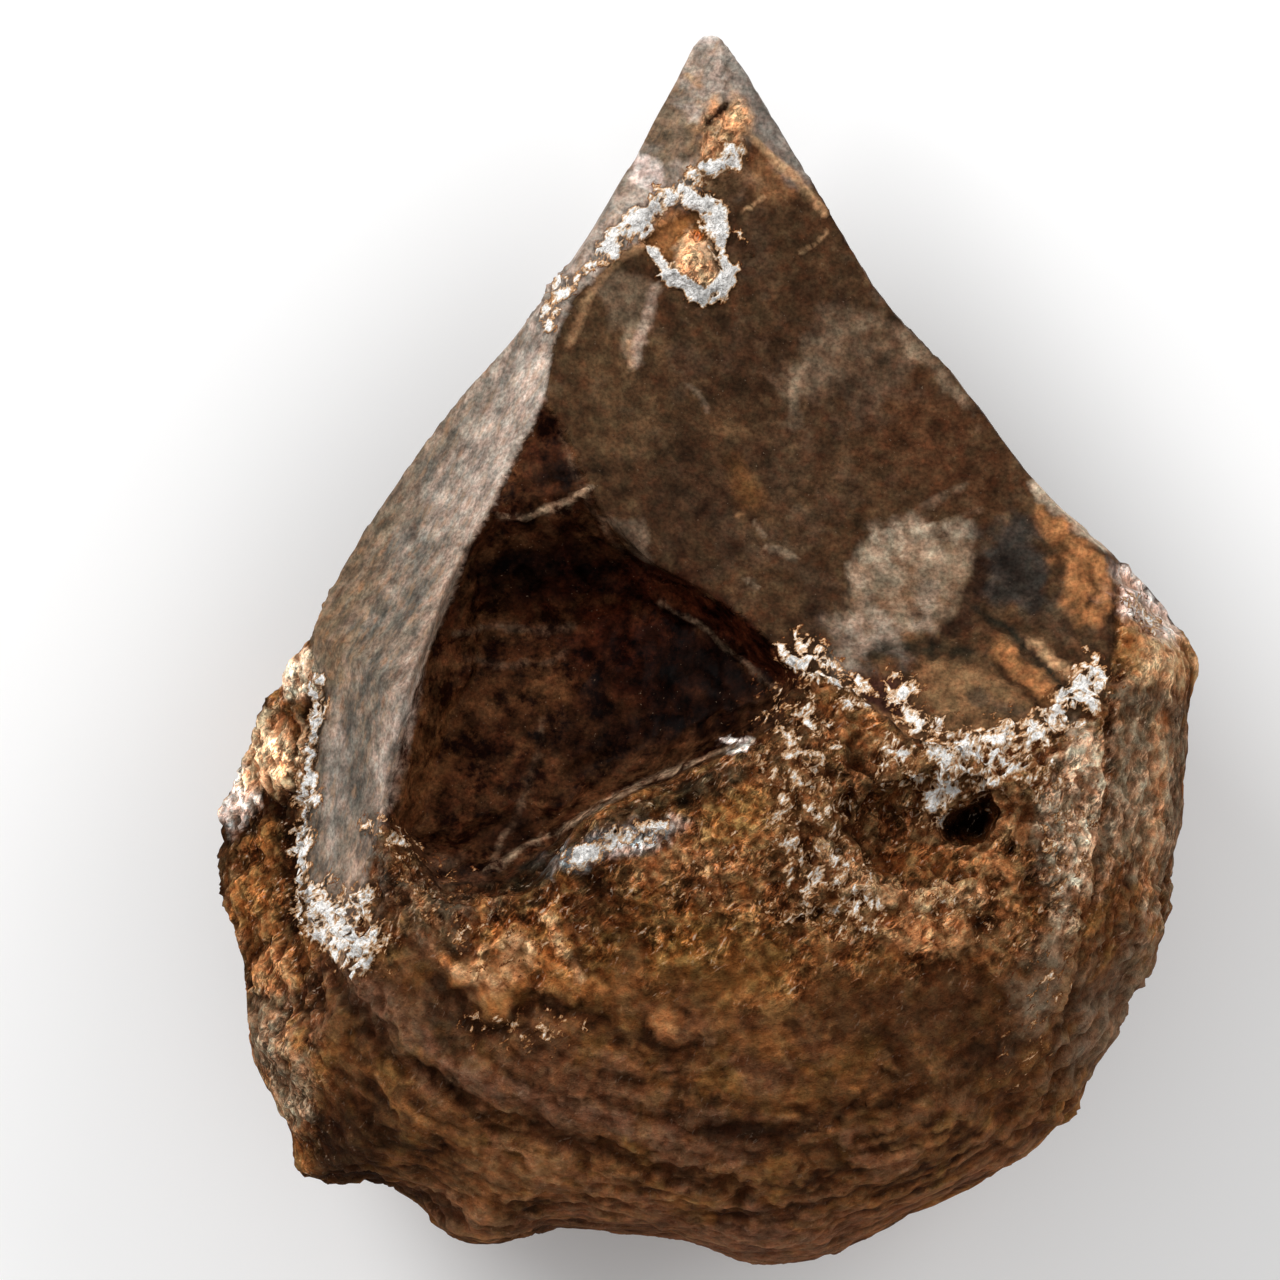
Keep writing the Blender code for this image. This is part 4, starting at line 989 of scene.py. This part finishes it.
class Graph:
    """Short calls that build one material's nodes. Sizes are millimetres on the stone."""

    def __init__(self, material):
        material.use_nodes = True
        self.tree = material.node_tree
        self.shader = self.tree.nodes["Principled BSDF"]
        self.place = self.add("TexCoord").outputs["Object"]

    def feed(self, node, inputs):
        """Links each named input of a node to its source, or sets it to a plain value."""
        for name, source in inputs.items():
            if isinstance(source, bpy.types.NodeSocket):
                self.tree.links.new(source, node.inputs[name])
            else:
                node.inputs[name].default_value = source

    def add(self, kind, inputs=None, **settings):
        """A new shader node with its inputs and settings."""
        node = self.tree.nodes.new("ShaderNode" + kind)
        for name, setting in settings.items():
            setattr(node, name, setting)
        self.feed(node, inputs or {})
        return node

    def attribute(self, name, output="Fac"):
        """A value that is stored on the mesh."""
        return self.add("Attribute", attribute_name=name).outputs[output]

    def noise(self, size, detail=2.0, roughness=0.5, stretch=None, turn=0.0, place=None):
        """Noise whose lumps are about so many millimetres wide, or drawn out along turned axes."""
        place = place or self.place
        if stretch:
            inputs = {"Vector": place, "Rotation": (0.0, 0.0, math.radians(turn)), "Scale": stretch}
            place = self.add("Mapping", inputs, vector_type="TEXTURE").outputs["Vector"]
        inputs = {"Vector": place, "Scale": 1 / (size * MM), "Detail": detail, "Roughness": roughness}
        return self.add("TexNoise", inputs).outputs["Fac"]

    def splinters(self, size):
        """Streaks that cross each other at an angle, like needles of crystal."""
        one = self.noise(size, 3.0, 0.62, (4.0, 1.0, 1.0), 35.0)
        other = self.noise(size * 0.9, 3.0, 0.62, (1.0, 4.0, 1.0), -22.0)
        return self.maths("MAXIMUM", one, other)

    def ramp(self, source, stops):
        """Palette colours along a value."""
        node = self.add("ValToRGB", {"Fac": source})
        elements = node.color_ramp.elements
        while len(elements) < len(stops):
            elements.new(0.5)
        for element, (place, colour) in zip(elements, stops):
            element.position = place
            element.color = rgba(colour)
        return node.outputs["Color"]

    def span(self, source, low, high, to_low=0.0, to_high=1.0):
        """Maps low..high to another range, clamped."""
        limits = {"From Min": low, "From Max": high, "To Min": to_low, "To Max": to_high}
        return self.add("MapRange", {"Value": source, **limits}).outputs["Result"]

    def maths(self, operation, first, second):
        """One Math node."""
        return self.add("Math", {0: first, 1: second}, operation=operation).outputs["Value"]

    def times(self, *sources):
        """The product of several values."""
        return reduce(partial(self.maths, "MULTIPLY"), sources)

    def plus(self, *sources):
        """The sum of several values."""
        return reduce(partial(self.maths, "ADD"), sources)

    def mix(self, share, first, second, way="MIX"):
        """Mixes two colours. A Mix node's inputs 6 and 7 and its output 2 are the colour ones."""
        inputs = {"Factor": share, 6: first, 7: second}
        return self.add("Mix", inputs, data_type="RGBA", blend_type=way).outputs[2]

    def between(self, source, low, high, first, second):
        """A tone that goes from the first to the second as a value goes from low to high."""
        return self.mix(self.span(source, low, high), (*first, 1.0), (*second, 1.0))

    def toned(self, colour, tone, share=1.0):
        """A colour multiplied by a tone."""
        return self.mix(share, colour, tone, "MULTIPLY")


def rgba(colour):
    """A palette colour as a socket value."""
    return (*(float(c) for c in COLOURS[colour]), 1.0)


def grey(amount):
    """A plain grey as a socket value."""
    return (amount, amount, amount, 1.0)


def flint_colour(graph, broad, cloud):
    """Flint: mottled, redder and greener by turns, with a fine grain and a few light flecks.

    The left face has light and dark streaks, and the hollow is broken into bright and black places.
    """
    flint = graph.toned(broad, graph.between(cloud, 0.36, 0.64, (0.74, 0.72, 0.7), (1.28, 1.29, 1.3)))
    hue = graph.noise(0.6, 4.0, 0.65)
    flint = graph.toned(flint, graph.between(hue, 0.4, 0.6, (1.08, 0.98, 0.94), (0.94, 1.01, 1.0)))
    flint = graph.toned(flint, graph.span(graph.noise(0.22, 2.0, 0.6), 0.34, 0.66, 0.66, 1.34))
    fleck = graph.span(graph.noise(0.2, 2.0, 0.6), 0.7, 0.76, 0.0, 0.4)
    flint = graph.mix(fleck, flint, rgba("grey_chert"))

    left = graph.attribute("left_face")
    streak = graph.noise(0.35, 3.0, 0.6, (1.0, 4.0, 2.0), -24.0)
    flint = graph.mix(graph.times(left, graph.span(streak, 0.54, 0.7), 0.3), flint, rgba("tan"))
    shade = graph.noise(0.45, 3.0, 0.6, (1.0, 4.0, 2.0), -23.0)
    flint = graph.mix(graph.times(left, graph.span(shade, 0.53, 0.68), 0.4), flint, rgba("slate"))
    pitch = graph.between(graph.noise(1.7, 7.0, 0.74), 0.42, 0.6, (2.0, 1.9, 1.85), (0.2, 0.12, 0.1))
    return graph.toned(flint, pitch, graph.attribute("hollow"))


def rind_colour(graph, broad, crumbs, clump, grit, needles):
    """Rind: fibrous clumps from near black to tan, broken into crossing splinters that glint."""
    rough = graph.plus(graph.times(crumbs, 0.45), 0.5)
    clump_tone = graph.between(clump, 0.4, 0.6, (0.42, 0.35, 0.3), (1.9, 1.85, 1.75))
    rind = graph.toned(broad, clump_tone, rough)
    hue = graph.noise(0.8, 4.0, 0.68)
    rind = graph.toned(rind, graph.between(hue, 0.41, 0.59, (1.22, 0.92, 0.78), (0.9, 1.03, 1.04)), rough)
    nest = graph.times(graph.span(graph.noise(1.7, 4.0, 0.65), 0.44, 0.58, 0.1, 1.0), crumbs)
    needle_tone = graph.plus(graph.times(nest, graph.span(needles, 0.5, 0.68, 0.4, 3.2)),
                             graph.maths("SUBTRACT", 1.0, nest))
    rind = graph.toned(rind, needle_tone)
    grit_tone = graph.between(grit, 0.3, 0.7, (0.76, 0.74, 0.72), (1.28, 1.28, 1.26))
    rind = graph.toned(rind, grit_tone, rough)
    glint = graph.times(graph.span(needles, 0.64, 0.69), nest, 0.8)
    return graph.mix(glint, rind, rgba("pale_tan"))


def crusted(graph, colour, crust, frost):
    """A colour under crust: white needles over tan with dark gaps, fewer of them where it is thin."""
    clot = graph.span(graph.noise(0.9, 3.0, 0.6), 0.36, 0.64, -0.6, 0.35)
    height = graph.plus(crust, graph.span(frost, 0.44, 0.68, -0.5, 0.5), clot)
    gap = graph.times(graph.span(crust, 0.3, 0.8), graph.span(height, 0.66, 0.5))
    colour = graph.mix(graph.times(gap, 0.55), colour, rgba("rind_dark"))
    paleness = graph.plus(graph.times(height, 0.5), graph.times(crust, 0.2))
    tone = graph.ramp(paleness, [(0.42, "rust"), (0.48, "sienna"), (0.58, "tan"),
                                 (0.72, "pale_tan"), (0.88, "white_crust")])
    tone = graph.toned(tone, graph.span(graph.noise(0.18, 3.0, 0.65), 0.34, 0.58, 0.74, 1.55))
    cover = graph.times(graph.span(height, 0.58, 0.64), graph.span(crust, 0.05, 0.2))
    return graph.mix(cover, colour, tone)


def flint_material():
    """Brown flint with grey patina and a painted sheen, rough brown rind and white crystalline crust."""
    material = bpy.data.materials.new("brown_flint_and_rind")
    graph = Graph(material)
    broad = graph.attribute("broad_colour", "Color")
    flow = graph.attribute("flow", "Vector")
    rind = graph.attribute("rind")
    crust = graph.attribute("crust")
    crumbs = graph.attribute("crumbs")
    grit = graph.noise(0.14, 2.0, 0.6)
    cloud = graph.noise(1.3, 4.0, 0.6)
    clump = graph.plus(graph.times(graph.noise(0.7, 5.0, 0.72, (3.0, 1.0, 1.0), place=flow), 0.5),
                       graph.times(graph.noise(0.55, 5.0, 0.75), 0.5))
    needles = graph.splinters(0.28)
    frost = graph.splinters(0.32)

    edge = graph.plus(rind, graph.span(graph.noise(0.3, 3.0), 0.2, 0.8, -0.25, 0.25))
    colour = graph.mix(graph.span(edge, 0.4, 0.6), flint_colour(graph, broad, cloud),
                       rind_colour(graph, broad, crumbs, clump, grit, needles))
    roughness = graph.plus(graph.span(rind, 0.0, 1.0, 0.5, 0.85), graph.span(cloud, 0.3, 0.7, -0.06, 0.1))
    height = graph.plus(graph.times(rind, grit, 0.4),
                        graph.times(rind, clump, 2.0),
                        graph.times(crumbs, needles, 1.8),
                        graph.times(crust, frost, 1.5),
                        graph.times(cloud, 0.1))
    bump = graph.add("Bump", {"Strength": 1.0, "Distance": 0.25 * MM, "Height": height})
    graph.feed(graph.shader, {
        "Base Color": crusted(graph, colour, crust, frost),
        "Roughness": roughness,
        "Specular IOR Level": 0.02,
        "Normal": bump.outputs["Normal"],
    })
    return material


def pale_floor():
    """A plain floor six metres wide, just under the stone."""
    bpy.ops.mesh.primitive_plane_add(size=6.0, location=(0.0, 0.0, CAD_LOW.z - 0.1 * MM))
    floor = bpy.context.object
    floor.name = "pale_floor"
    material = bpy.data.materials.new("pale_floor")
    material.use_nodes = True
    shader = material.node_tree.nodes["Principled BSDF"]
    shader.inputs["Base Color"].default_value = grey(0.95)
    shader.inputs["Roughness"].default_value = 0.9
    shader.inputs["Specular IOR Level"].default_value = 0.1
    floor.data.materials.append(material)


def soft_light(name, place, size, power):
    """A square lamp that faces the stone. Its place and size are metres, its power is watts."""
    lamp = bpy.data.lights.new(name, "AREA")
    lamp.size = size
    lamp.energy = power
    lamp_object = bpy.data.objects.new(name, lamp)
    lamp_object.location = place
    aim = Vector((0.0, 0.0, RIM * MM)) - Vector(place)
    lamp_object.rotation_euler = aim.to_track_quat("-Z", "Y").to_euler()
    bpy.context.scene.collection.objects.link(lamp_object)


def light_scene():
    """A soft key from the upper left, a weaker fill from the upper right and an even white surround."""
    world = bpy.data.worlds.new("plain_white")
    bpy.context.scene.world = world
    world.use_nodes = True
    background = world.node_tree.nodes["Background"]
    background.inputs["Color"].default_value = grey(1.0)
    background.inputs["Strength"].default_value = 0.42 * STRENGTH_OF_LIGHT
    soft_light("key", (-0.42, 0.36, 0.40), 0.4, 2.7 * STRENGTH_OF_LIGHT)
    soft_light("fill", (0.46, 0.26, 0.34), 0.4, 1.3 * STRENGTH_OF_LIGHT)
    bpy.context.scene.view_settings.view_transform = "Standard"


def add_camera():
    """A long lens straight above the stone, with the stone's point toward the top of the picture."""
    camera_data = bpy.data.cameras.new("camera")
    camera_data.sensor_width = 36.0
    camera_data.lens = 400.0
    reach = VIEW_WIDTH * MM * camera_data.lens / camera_data.sensor_width
    camera = bpy.data.objects.new("camera", camera_data)
    camera.location = (VIEW_MIDDLE[0] * MM, VIEW_MIDDLE[1] * MM, RIM * MM + reach)
    bpy.context.scene.collection.objects.link(camera)
    bpy.context.scene.camera = camera


def main():
    """Builds the stone, its setting and the view."""
    stone = fine_stone()
    stone.data.materials.append(flint_material())
    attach(stone, "root")
    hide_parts(NODE)
    pale_floor()
    light_scene()
    add_camera()


main()
